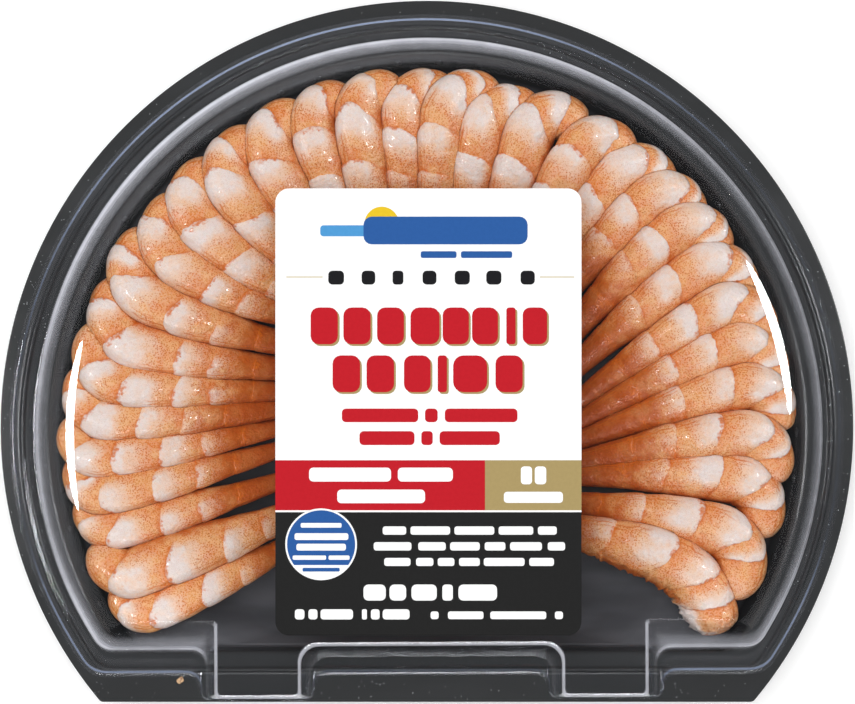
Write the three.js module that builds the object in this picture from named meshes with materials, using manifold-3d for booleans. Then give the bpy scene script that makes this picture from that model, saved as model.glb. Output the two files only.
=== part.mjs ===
/**
 * A shut retail tray of cocktail shrimps.
 *
 * A black tray and a clear domed lid share a D-shaped plan: a circle whose front, on the -Y side, is cut
 * straight. A label lies on the lid, and a fan of peeled shrimps lies in the tray, each shrimp resting on
 * the one before it.
 *
 * Units are millimetres and +Z is up. The origin is the middle of the tray's box, on the surface that it
 * stands on.
 */
import * as THREE from 'three';
import { mergeVertices } from 'three/addons/utils/BufferGeometryUtils.js';
import Module from 'manifold-3d';

const wasm = await Module();
wasm.setup();

// ---------------------------------------------------------------- driving sizes

const FLANGE_CENTRE_Y = -24.9; // centre of the tray's outer circle
const BOWL_CENTRE_Y = -26.4; // centre of the bowl and of the lid
const FLANGE_RADIUS = 140;
const FLANGE_FRONT = 90.2; // from the flange's centre to its straight front
const FLANGE_TOP = 22;
const SHEET = 0.8; // thickness of the lid's plastic
const TRAY_SHEET = 0.9; // thickness of the tray's plastic, measured level
const TRAY_FLOOR = 1.2; // and measured upright
const GAP = 0.3; // between pieces that lie against each other
const LID_BOTTOM = FLANGE_TOP + GAP;
const LID_TOP = 42;
const HOLLOW_BOTTOM = 21.5; // the lid's hollow is cut out from below its rim

const BACK_STEPS = 24; // back half of a D outline's round part
const SIDE_STEPS = 4; // from the widest point to a front corner
const CORNER_STEPS = 2;
const OUTLINE_STEPS = BACK_STEPS + 2 * SIDE_STEPS + 2 * CORNER_STEPS + 2;

// ---------------------------------------------------------------- solids and booleans

/** Turn a closed geometry into a solid that can be cut and joined. */
function solidFrom(geometry) {
  const bare = geometry.clone();
  bare.deleteAttribute('normal');
  bare.deleteAttribute('uv');
  const merged = mergeVertices(bare, 1e-4);
  return new wasm.Manifold(new wasm.Mesh({
    numProp: 3,
    vertProperties: new Float32Array(merged.attributes.position.array),
    triVerts: new Uint32Array(merged.index.array),
  }));
}

/** Turn a solid back into a geometry with flat faces. */
function geometryFrom(solid) {
  const mesh = solid.getMesh();
  const geometry = new THREE.BufferGeometry();
  geometry.setAttribute('position', new THREE.BufferAttribute(mesh.vertProperties.slice(), 3));
  geometry.setIndex(new THREE.BufferAttribute(mesh.triVerts.slice(), 1));
  geometry.computeVertexNormals();
  return geometry;
}

/** Join a list of solids into one. */
function joined(solids) {
  return solids.reduce((whole, solid) => whole.add(solid));
}

/** Keep only the largest piece of a solid, so that no loose scrap is left. */
function largestPiece(solid) {
  return solid.decompose().reduce((best, piece) => (piece.volume() > best.volume() ? piece : best));
}

// ---------------------------------------------------------------- D-shaped turned solids

/** One level of a D-shaped solid: its height, circle radius, straight front and corner radius. */
function level(z, radius = 0, front = 0, corner = 0, centreY = BOWL_CENTRE_Y) {
  return { z, radius, front, corner, centreY };
}

/** Points round a D outline, from the middle of its straight front, anticlockwise seen from above. */
function outlineOf({ radius, front, corner }) {
  if (radius === 0) {
    return Array(OUTLINE_STEPS).fill(new THREE.Vector2());
  }
  const cornerX = Math.sqrt((radius - corner) ** 2 - (front - corner) ** 2);
  const cornerY = corner - front;
  const meeting = Math.atan2(cornerY, cornerX);
  const points = [new THREE.Vector2(0, -front)];
  const addArc = (centreX, centreY, arcRadius, from, to, steps) => {
    for (let step = 0; step < steps; step++) {
      const angle = THREE.MathUtils.lerp(from, to, step / steps);
      points.push(new THREE.Vector2(
        centreX + arcRadius * Math.cos(angle),
        centreY + arcRadius * Math.sin(angle),
      ));
    }
  };
  addArc(cornerX, cornerY, corner, -Math.PI / 2, meeting, CORNER_STEPS);
  addArc(0, 0, radius, meeting, 0, SIDE_STEPS);
  addArc(0, 0, radius, 0, Math.PI, BACK_STEPS);
  addArc(0, 0, radius, Math.PI, Math.PI - meeting, SIDE_STEPS);
  addArc(-cornerX, cornerY, corner, Math.PI - meeting, 1.5 * Math.PI, CORNER_STEPS);
  points.push(new THREE.Vector2(-cornerX, -front));
  return points;
}

/** Turn a profile that starts and ends on the axis, then press its front flat at every level. */
function flatFronted(levels) {
  const profile = levels.map(({ radius, z }) => new THREE.Vector2(radius, z));
  const outlines = levels.map(outlineOf);
  const geometry = new THREE.LatheGeometry(profile, OUTLINE_STEPS);
  const position = geometry.attributes.position;
  for (let step = 0; step <= OUTLINE_STEPS; step++) {
    levels.forEach(({ z, centreY }, row) => {
      const point = outlines[row][step % OUTLINE_STEPS];
      position.setXYZ(step * levels.length + row, point.x, centreY + point.y, z);
    });
  }
  return geometry;
}

// ---------------------------------------------------------------- tray

/** Levels of the bowl's inside, from the floor up to the rim. */
const BOWL_LEVELS = [
  level(TRAY_FLOOR, 80, 65.1, 14),
  level(2.4, 84.5, 66.8, 13),
  level(8.2, 93.5, 69.6, 12),
  level(9.5, 96.5, 70.2, 11),
  level(9.9, 114.5, 70.8, 9),
  level(12.6, 118.6, 71.2, 8.5),
  level(21.2, 123.8, 72, 8),
];

/** The black tray: floor, ring-shaped ledge, wall, snap bead and wide flat flange. */
function trayGeometry() {
  const outside = BOWL_LEVELS.map(({ z, radius, front, corner }) => (
    level(z - TRAY_FLOOR, radius + TRAY_SHEET, front + TRAY_SHEET, corner + TRAY_SHEET)
  ));
  const edge = (z) => level(z, FLANGE_RADIUS, FLANGE_FRONT, 2, FLANGE_CENTRE_Y);
  const underside = FLANGE_TOP - 1;
  const beadTop = FLANGE_TOP + 1.6;
  return flatFronted([
    level(0),
    ...outside,
    level(underside, 126, 73.9, 8.9),
    edge(underside),
    edge(FLANGE_TOP),
    level(FLANGE_TOP, 133.5, 78.8, 8.4),
    level(beadTop, 133.2, 78.4, 8.2),
    level(beadTop, 132.2, 77.5, 8),
    level(FLANGE_TOP, 131.8, 77, 8),
    level(FLANGE_TOP, 125, 72.8, 8),
    ...BOWL_LEVELS.toReversed(),
    level(BOWL_LEVELS[0].z),
  ]);
}

// ---------------------------------------------------------------- lid

const TONGUE_MIDDLE_X = 1.1; // the lid's front is symmetric about this line
const TONGUE_INNER = 42.6; // from that line to a tongue's inner top edge
const TONGUE_OUTER = 70.4;
const TONGUE_FRONT_Y = -110.3; // top edge of a tongue's front wall
const RECESS_Y = -94.3; // top edge of the wall between the tongues
const TONGUE_DRAFT = 2.8; // a tongue's foot stands this far outside its top edge
const TONGUE_CORNER = 2.4;
const RECESS_DRAFT = 5;
const BLOCK_BACK_Y = -50; // the front blocks run back into the dome
const FOOT_WIDTH = 1.6; // the rim that runs round the bottom of each tongue
const FOOT_HEIGHT = 1;

/** The outside of the lid's rim and dome, without its front blocks. */
function domeOutside() {
  return solidFrom(flatFronted([
    level(LID_BOTTOM),
    level(LID_BOTTOM, 135.2, 80.5, 9),
    level(LID_BOTTOM + FOOT_HEIGHT, 135.2, 80.5, 9),
    level(25, 134.8, 80.1, 9),
    level(25, 132.2, 77.6, 8.5),
    level(24.2, 131.4, 76.8, 8),
    level(24.2, 128.3, 71.5, 7),
    level(32, 123.4, 67, 6.5),
    level(32.6, 122.6, 66.4, 6.5),
    level(39, 118.6, 62.9, 6),
    level(41.2, 117, 61.6, 6),
    level(LID_TOP, 114.2, 59.3, 5.5),
    level(LID_TOP),
  ]));
}

/** The hollow inside the lid's rim and dome, open at the bottom. */
function domeInside() {
  return solidFrom(flatFronted([
    level(HOLLOW_BOTTOM),
    level(HOLLOW_BOTTOM, 134, 79.3, 8.5),
    level(24.2, 133.8, 79.1, 8.5),
    level(24.2, 131.8, 77.1, 8),
    level(23.4, 131, 76.3, 8),
    level(23.4, 127.4, 70.7, 6.5),
    level(32, 122.6, 66.2, 6),
    level(32.4, 121.8, 65.6, 6),
    level(38.7, 117.8, 62.1, 5.5),
    level(40.5, 116.2, 60.8, 5.5),
    level(LID_TOP - SHEET, 113.8, 58.8, 5),
    level(LID_TOP - SHEET),
  ]));
}

/** A rounded block whose walls lean in by draft from its foot to its top. */
function draftedBlock({ left, right, frontY, bottom, top, draft, corner }) {
  const [x0, x1, y0, y1] = [left - draft, right + draft, frontY - draft, BLOCK_BACK_Y + draft];
  const shape = new THREE.Shape();
  shape.moveTo(x0 + corner, y0);
  shape.lineTo(x1 - corner, y0);
  shape.absarc(x1 - corner, y0 + corner, corner, -Math.PI / 2, 0);
  shape.lineTo(x1, y1);
  shape.lineTo(x0, y1);
  shape.absarc(x0 + corner, y0 + corner, corner, Math.PI, 1.5 * Math.PI);
  const geometry = new THREE.ExtrudeGeometry(shape, {
    depth: top - bottom, bevelEnabled: false, curveSegments: CORNER_STEPS,
  });
  geometry.translate(0, 0, bottom);
  const middle = new THREE.Vector2((x0 + x1) / 2, (y0 + y1) / 2);
  const shrinkX = 1 - (2 * draft) / (x1 - x0);
  const shrinkY = 1 - (2 * draft) / (y1 - y0);
  const position = geometry.attributes.position;
  for (let i = 0; i < position.count; i++) {
    if (position.getZ(i) > (bottom + top) / 2) {
      position.setX(i, middle.x + (position.getX(i) - middle.x) * shrinkX);
      position.setY(i, middle.y + (position.getY(i) - middle.y) * shrinkY);
    }
  }
  return solidFrom(geometry);
}

/** The blocks at the lid's front, a wall between two tongues, made smaller by inset for their hollow. */
function frontBlocks(inset, bottom) {
  const tongueAt = (side) => {
    const edges = [side * TONGUE_INNER, side * TONGUE_OUTER].map((x) => x + TONGUE_MIDDLE_X);
    return draftedBlock({
      left: Math.min(...edges) + inset,
      right: Math.max(...edges) - inset,
      frontY: TONGUE_FRONT_Y + inset,
      bottom,
      top: LID_TOP - inset,
      draft: TONGUE_DRAFT,
      corner: TONGUE_CORNER,
    });
  };
  const middleOfTongue = (TONGUE_INNER + TONGUE_OUTER) / 2;
  const recess = draftedBlock({
    left: TONGUE_MIDDLE_X - middleOfTongue,
    right: TONGUE_MIDDLE_X + middleOfTongue,
    frontY: RECESS_Y + inset,
    bottom,
    top: LID_TOP - inset,
    draft: RECESS_DRAFT,
    corner: 1,
  });
  return joined([tongueAt(-1), recess, tongueAt(1)]);
}

/** The flat foot round the bottom of each tongue, which carries the rim out to the front. */
function tongueFeet() {
  const overhang = TONGUE_DRAFT + FOOT_WIDTH;
  const footAt = (side) => {
    const edges = [side * TONGUE_INNER, side * TONGUE_OUTER].map((x) => x + TONGUE_MIDDLE_X);
    return draftedBlock({
      left: Math.min(...edges) - overhang,
      right: Math.max(...edges) + overhang,
      frontY: TONGUE_FRONT_Y - overhang,
      bottom: LID_BOTTOM,
      top: LID_BOTTOM + FOOT_HEIGHT,
      draft: 0,
      corner: TONGUE_CORNER,
    });
  };
  return joined([footAt(-1), footAt(1)]);
}

/** The clear lid as a thin shell. */
function lidGeometry() {
  const outside = joined([domeOutside(), frontBlocks(0, LID_BOTTOM), tongueFeet()]);
  const inside = joined([domeInside(), frontBlocks(SHEET, HOLLOW_BOTTOM)]);
  return geometryFrom(largestPiece(outside.subtract(inside)));
}

// ---------------------------------------------------------------- label

const LABEL_LEFT = -49;
const LABEL_RIGHT = 50;
const LABEL_FRONT = -91.9;
const LABEL_BACK = 52.7;
const LABEL_CORNER = 4.5;
const LABEL_THICKNESS = 0.35;

/** The printed label, a thin rounded sheet on the lid's flat top. */
function labelGeometry() {
  const shape = new THREE.Shape();
  const [x0, x1, y0, y1, c] = [LABEL_LEFT, LABEL_RIGHT, LABEL_FRONT, LABEL_BACK, LABEL_CORNER];
  shape.absarc(x1 - c, y0 + c, c, -Math.PI / 2, 0);
  shape.absarc(x1 - c, y1 - c, c, 0, Math.PI / 2);
  shape.absarc(x0 + c, y1 - c, c, Math.PI / 2, Math.PI);
  shape.absarc(x0 + c, y0 + c, c, Math.PI, 1.5 * Math.PI);
  const geometry = new THREE.ExtrudeGeometry(shape, {
    depth: LABEL_THICKNESS, bevelEnabled: false, curveSegments: 4,
  });
  geometry.translate(0, 0, LID_TOP);
  return geometryFrom(solidFrom(geometry));
}

// ---------------------------------------------------------------- shrimps

const SHRIMP_LENGTH = 86; // along the middle line, for size 1
const SHRIMP_SIDES = 7;
const BODY_Z = 19.4; // middle line where the shrimp is thickest
const TAIL_Z = 4.4;
const HEAD_DROP = 4.5; // the hooked head end sinks this far
const HOOK_TURN = 118; // in degrees
const TIGHTEST_BEND = 6.5; // smallest radius of the middle line in the hooked end
const BELLY_SHARE = 0.95; // of that bend's radius that the belly may fill
const TAIL_ROLL = THREE.MathUtils.degToRad(50);
const HEAD_ROLL = THREE.MathUtils.degToRad(33);
const CURVE_STEPS = 60;
const NEIGHBOURS = 4; // shrimps further apart in the fan never meet
const FINEST_DETAIL = 0.12; // smaller facets, left by the cuts, are merged

/**
 * The fan, clockwise from the front left. Angles are in degrees clockwise from the back.
 * tip: where the shrimp's outermost point lies, reach: how far out that is, aim: the heading of the
 * tail, sag: how far the body then turns, size: 1 for a middling shrimp, hook: length of the hooked end,
 * turn: how far the hooked end turns, where that is unlike the others.
 */
const FAN = [
  { tip: -120.4, reach: 120.5, aim: -118.5, sag: 7, size: 0.85, hook: 12 },
  { tip: -112.7, reach: 121.3, aim: -114.4, sag: 9, size: 1.05, hook: 12 },
  { tip: -104.6, reach: 120.5, aim: -110, sag: 9, size: 0.84, hook: 12 },
  { tip: -98.2, reach: 121.2, aim: -108, sag: 9, size: 0.86, hook: 13 },
  { tip: -91.6, reach: 122.2, aim: -103, sag: 9, size: 0.9, hook: 14 },
  { tip: -84, reach: 121, aim: -97, sag: 9, size: 0.95, hook: 17 },
  { tip: -76, reach: 120, aim: -91, sag: 9, size: 0.95, hook: 23 },
  { tip: -68.6, reach: 119, aim: -88, sag: 16, size: 1, hook: 22 },
  { tip: -59.6, reach: 119.4, aim: -84, sag: 26, size: 1, hook: 22 },
  { tip: -51.2, reach: 117.5, aim: -82, sag: 33, size: 1, hook: 20 },
  { tip: -43.2, reach: 118.2, aim: -78, sag: 40, size: 1.08, hook: 19 },
  { tip: -34.4, reach: 118.2, aim: -63, sag: 35, size: 1, hook: 18 },
  { tip: -25.6, reach: 119, aim: -48, sag: 30, size: 1.05, hook: 16 },
  { tip: -17, reach: 119, aim: -30, sag: 18, size: 0.92, hook: 15 },
  { tip: -8.6, reach: 119, aim: -15, sag: 11, size: 1, hook: 14 },
  { tip: 0, reach: 118.2, aim: -6, sag: 9, size: 0.92, hook: 16 },
  { tip: 8, reach: 118.8, aim: 0, sag: 9, size: 0.98, hook: 18 },
  { tip: 15.4, reach: 116.6, aim: 6, sag: 9, size: 0.92, hook: 18 },
  { tip: 23.6, reach: 119.2, aim: 11, sag: 11, size: 1, hook: 17 },
  { tip: 33, reach: 119.2, aim: 18, sag: 18, size: 1, hook: 15 },
  { tip: 41.2, reach: 119.4, aim: 23, sag: 25, size: 0.95, hook: 15 },
  { tip: 48.4, reach: 119.6, aim: 28, sag: 26, size: 0.95, hook: 16 },
  { tip: 55.8, reach: 119.8, aim: 32, sag: 25, size: 0.95, hook: 16 },
  { tip: 64, reach: 120.6, aim: 41, sag: 21, size: 0.98, hook: 16 },
  { tip: 72.2, reach: 121, aim: 49, sag: 16, size: 0.95, hook: 17 },
  { tip: 79.6, reach: 121.2, aim: 58, sag: 11, size: 0.95, hook: 19 },
  { tip: 87.2, reach: 122, aim: 66, sag: 11, size: 0.95, hook: 19 },
  { tip: 96, reach: 121.6, aim: 75, sag: 11, size: 0.98, hook: 19 },
  { tip: 104.8, reach: 121.8, aim: 85, sag: 12, size: 0.98, hook: 22 },
  { tip: 115.2, reach: 122, aim: 88, sag: 25, size: 1.02, hook: 24 },
  { tip: 124, reach: 122, aim: 92, sag: 26, size: 1.1, hook: 31, turn: 56 },
];

/**
 * Cross-sections from the tail to the head, with the share of the length, the half depth from back to
 * belly and the half width from side to side. Each body ring ends high over the start of the next.
 */
const SECTIONS = [
  { share: 0, depth: 0, width: 0 },
  { share: 0.015, depth: 2.6, width: 2.1 },
  { share: 0.325, depth: 5.2, width: 4.3 },
  { share: 0.35, depth: 4.9, width: 4 },
  { share: 0.515, depth: 7.5, width: 5.9 },
  { share: 0.54, depth: 7, width: 5.5 },
  { share: 0.715, depth: 9.2, width: 6.9 },
  { share: 0.74, depth: 8.6, width: 6.5 },
  { share: 0.87, depth: 9.3, width: 6.9 },
  { share: 0.895, depth: 8.7, width: 6.5 },
  { share: 0.97, depth: 9, width: 6.8 },
  { share: 1.045, depth: 7.4, width: 5.8 },
  { share: 1.06, depth: 0, width: 0 },
];

const { clamp, degToRad, lerp, smoothstep } = THREE.MathUtils;

/** A level direction, as an angle clockwise from the back. */
function headed(angle) {
  return new THREE.Vector2(Math.sin(angle), Math.cos(angle));
}

/** Half the shrimp's width in plan where the given section is rolled on its side. */
function planHalfWidth({ depth, width }, roll, size) {
  return size * Math.hypot(depth * Math.cos(roll), width * Math.sin(roll));
}

/** Depth and width of the section at any share of the length. */
function sectionAt(share) {
  const next = Math.max(1, SECTIONS.findIndex((section) => section.share >= share));
  const [low, high] = [SECTIONS[next - 1], SECTIONS[next]];
  const part = (share - low.share) / (high.share - low.share);
  return { depth: lerp(low.depth, high.depth, part), width: lerp(low.width, high.width, part) };
}

/** The shrimp's middle line: points, headings and the frame's placing in the tray. */
function middleLine({ tip, reach, aim, sag, size, hook, turn = HOOK_TURN }, number) {
  const length = SHRIMP_LENGTH * Math.sqrt(size);
  const hookStart = 1 - hook / length;
  const hookTurn = Math.min(degToRad(turn), hook / TIGHTEST_BEND);
  const headingAt = (share) => (
    degToRad(aim + sag * share) + hookTurn * clamp((share - hookStart) / (1 - hookStart), 0, 1) ** 1.3
  );
  const rollAt = (share) => lerp(TAIL_ROLL, HEAD_ROLL, smoothstep(share, 0, 0.7));
  const lift = 0.8 * Math.sin(2.4 * number);
  const heightAt = (share) => (
    lerp(TAIL_Z, BODY_Z + lift, smoothstep(share, -0.1, 0.75))
    - HEAD_DROP * smoothstep(share, hookStart, 1.05)
  );
  const plan = [new THREE.Vector2()];
  for (let step = 1; step <= CURVE_STEPS; step++) {
    const heading = headingAt((step - 0.5) / CURVE_STEPS);
    const stride = headed(heading).multiplyScalar(length / CURVE_STEPS);
    plan.push(plan[step - 1].clone().add(stride));
  }
  const planAt = (share) => {
    const place = clamp(share, 0, 1) * CURVE_STEPS;
    const low = Math.min(Math.floor(place), CURVE_STEPS - 1);
    const point = plan[low].clone().lerp(plan[low + 1], place - low);
    const beyond = Math.max(0, share - 1) * length;
    return point.add(headed(headingAt(1)).multiplyScalar(beyond));
  };
  const outwards = degToRad(tip);
  const tipStep = plan.findIndex((_, step) => headingAt(step / CURVE_STEPS) >= outwards + Math.PI / 2);
  const tipShare = (tipStep < 0 ? CURVE_STEPS : tipStep) / CURVE_STEPS;
  const half = planHalfWidth(sectionAt(tipShare), rollAt(tipShare), size);
  const middle = reach - half;
  const placing = headed(outwards).multiplyScalar(middle).sub(planAt(tipShare));
  placing.y += FLANGE_CENTRE_Y;
  const bendRadius = hook / hookTurn;
  return { planAt, headingAt, rollAt, heightAt, placing, hookStart, bendRadius };
}

/** One shrimp, bent along its middle line, with extra added all over its surface. */
function shrimpSolid(row, number, extra = 0) {
  const line = middleLine(row, number);
  const profile = SECTIONS.map(({ share, depth }) => new THREE.Vector2(depth, share));
  const geometry = new THREE.LatheGeometry(profile, SHRIMP_SIDES);
  const position = geometry.attributes.position;
  SECTIONS.forEach(({ share, depth, width }, index) => {
    const plan = line.planAt(share).add(line.placing);
    const heading = line.headingAt(clamp(share, 0, 1));
    const rise = (line.heightAt(share + 0.01) - line.heightAt(share - 0.01)) / (0.02 * SHRIMP_LENGTH);
    const tangent = new THREE.Vector3(Math.sin(heading), Math.cos(heading), rise).normalize();
    const backwards = new THREE.Vector3(-Math.cos(heading), Math.sin(heading), 0);
    const upwards = new THREE.Vector3().crossVectors(tangent, backwards).normalize();
    const roll = line.rollAt(share);
    const [cos, sin] = [Math.cos(roll), Math.sin(roll)];
    const dorsal = backwards.clone().multiplyScalar(cos).addScaledVector(upwards, sin);
    const lateral = upwards.clone().multiplyScalar(cos).addScaledVector(backwards, -sin);
    const swell = depth > 0 ? extra : 0;
    const back = depth * row.size + swell;
    const side = width * row.size + swell;
    const inHook = smoothstep(share, line.hookStart - 0.12, line.hookStart + 0.04);
    const bellyLimit = (BELLY_SHARE * line.bendRadius) / Math.cos(roll);
    const belly = Math.min(back, lerp(back, bellyLimit + extra, inHook));
    const centre = new THREE.Vector3(plan.x, plan.y, line.heightAt(share));
    if (depth === 0) {
      centre.addScaledVector(tangent, share > 0 ? extra : -extra);
    }
    for (let step = 0; step <= SHRIMP_SIDES; step++) {
      const angle = (2 * Math.PI * step) / SHRIMP_SIDES;
      const alongDorsal = Math.cos(angle) * (Math.cos(angle) > 0 ? back : belly);
      const point = centre.clone()
        .addScaledVector(dorsal, alongDorsal)
        .addScaledVector(lateral, Math.sin(angle) * side);
      position.setXYZ(step * SECTIONS.length + index, point.x, point.y, point.z);
    }
  });
  return solidFrom(geometry);
}

/** The room that the tray leaves for its contents, with a gap to every wall. */
function roomInTray() {
  const walls = BOWL_LEVELS.map(({ z, radius, front, corner }) => (
    level(z + GAP, radius - GAP, front - GAP, corner)
  ));
  const belowLid = LID_TOP - 4;
  return solidFrom(flatFronted([
    level(TRAY_FLOOR + GAP),
    ...walls,
    level(LID_BOTTOM + 1.7, 124.4, 72.1, 8),
    level(belowLid, 118, 60, 6),
    level(belowLid),
  ]));
}

/** Every shrimp, cut clear of those that lie on top of it and of the tray. */
function shrimpGeometries() {
  const room = roomInTray();
  const swollen = FAN.map((row, index) => shrimpSolid(row, index, GAP));
  return FAN.map((row, index) => {
    const above = swollen.slice(index + 1, index + 1 + NEIGHBOURS);
    let solid = shrimpSolid(row, index).intersect(room);
    above.forEach((other) => {
      solid = solid.subtract(other);
    });
    return geometryFrom(largestPiece(solid).simplify(FINEST_DETAIL));
  });
}

// ---------------------------------------------------------------- assembly

/** A matt or glossy finish. */
function finish(color, roughness, extras = {}) {
  return new THREE.MeshStandardMaterial({ color, roughness, metalness: 0, ...extras });
}

/** Add one named mesh to a group. */
function addMesh(group, name, geometry, material) {
  const mesh = new THREE.Mesh(geometry, material);
  mesh.name = name;
  group.add(mesh);
}

const pack = new THREE.Group();
pack.name = 'shrimp_tray';

addMesh(pack, 'tray', trayGeometry(), finish(0x222324, 0.35));
addMesh(pack, 'lid', lidGeometry(), finish(0xe8ecf2, 0.08, { transparent: true, opacity: 0.25 }));
addMesh(pack, 'label', labelGeometry(), finish(0xf6f6f6, 0.5));

shrimpGeometries().forEach((geometry, index) => {
  const number = String(index + 1).padStart(2, '0');
  addMesh(pack, `shrimp_${number}`, geometry, finish(0xe8a878, 0.4));
});

export default pack;
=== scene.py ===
"""A shut tray of cocktail shrimps: black tray, clear domed lid, printed label and a fan of shrimps.

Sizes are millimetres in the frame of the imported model, whose origin is on the surface that the tray
stands on, with +X along the straight front's right and +Z up. They become metres as a mesh is finished.
"""

import logging
import math
from dataclasses import dataclass, field, replace
from enum import Enum
from typing import Iterable, Sequence

import bmesh
import bpy
import numpy as np
from mathutils import Matrix, Vector, noise


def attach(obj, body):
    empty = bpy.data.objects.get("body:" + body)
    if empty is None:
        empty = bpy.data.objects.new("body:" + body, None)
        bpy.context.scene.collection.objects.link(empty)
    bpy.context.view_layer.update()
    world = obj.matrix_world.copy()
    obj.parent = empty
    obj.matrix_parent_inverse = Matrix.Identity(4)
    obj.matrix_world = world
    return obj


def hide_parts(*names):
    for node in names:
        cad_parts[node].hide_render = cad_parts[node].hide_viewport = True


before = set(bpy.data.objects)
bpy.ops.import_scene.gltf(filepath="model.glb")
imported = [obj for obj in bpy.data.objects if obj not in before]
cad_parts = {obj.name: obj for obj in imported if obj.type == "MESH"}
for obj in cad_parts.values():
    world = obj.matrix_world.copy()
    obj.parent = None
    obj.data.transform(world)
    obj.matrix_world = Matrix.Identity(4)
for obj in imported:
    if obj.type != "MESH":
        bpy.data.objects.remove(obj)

LOG = logging.getLogger("shrimp_tray")
MM = 0.001
Colour = tuple[float, float, float, float]
Span = tuple[float, float]

FLANGE_CENTRE_Y = -24.9
BOWL_CENTRE_Y = -26.4
FLANGE_TOP = 22.0
LID_TOP = 42.0
FULL_TURN = 6.3  # phases are drawn from 0 to this
FIRST_SEED = 1000  # the first shrimp's, and each next one's is one more


def srgb(red: int, green: int, blue: int) -> Colour:
    """Turn a colour on the 0 to 255 scale into the linear one that shaders take.

    Args:
        red: the red channel.
        green: the green channel.
        blue: the blue channel.

    Returns:
        The linear colour, opaque.
    """
    def linear(value: int) -> float:
        """One channel on a linear scale from 0 to 1."""
        share = value / 255
        return share / 12.92 if share <= 0.04045 else ((share + 0.055) / 1.055) ** 2.4

    return (linear(red), linear(green), linear(blue), 1.0)


# ------------------------------------------------------------------------------------- shader graphs


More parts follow.
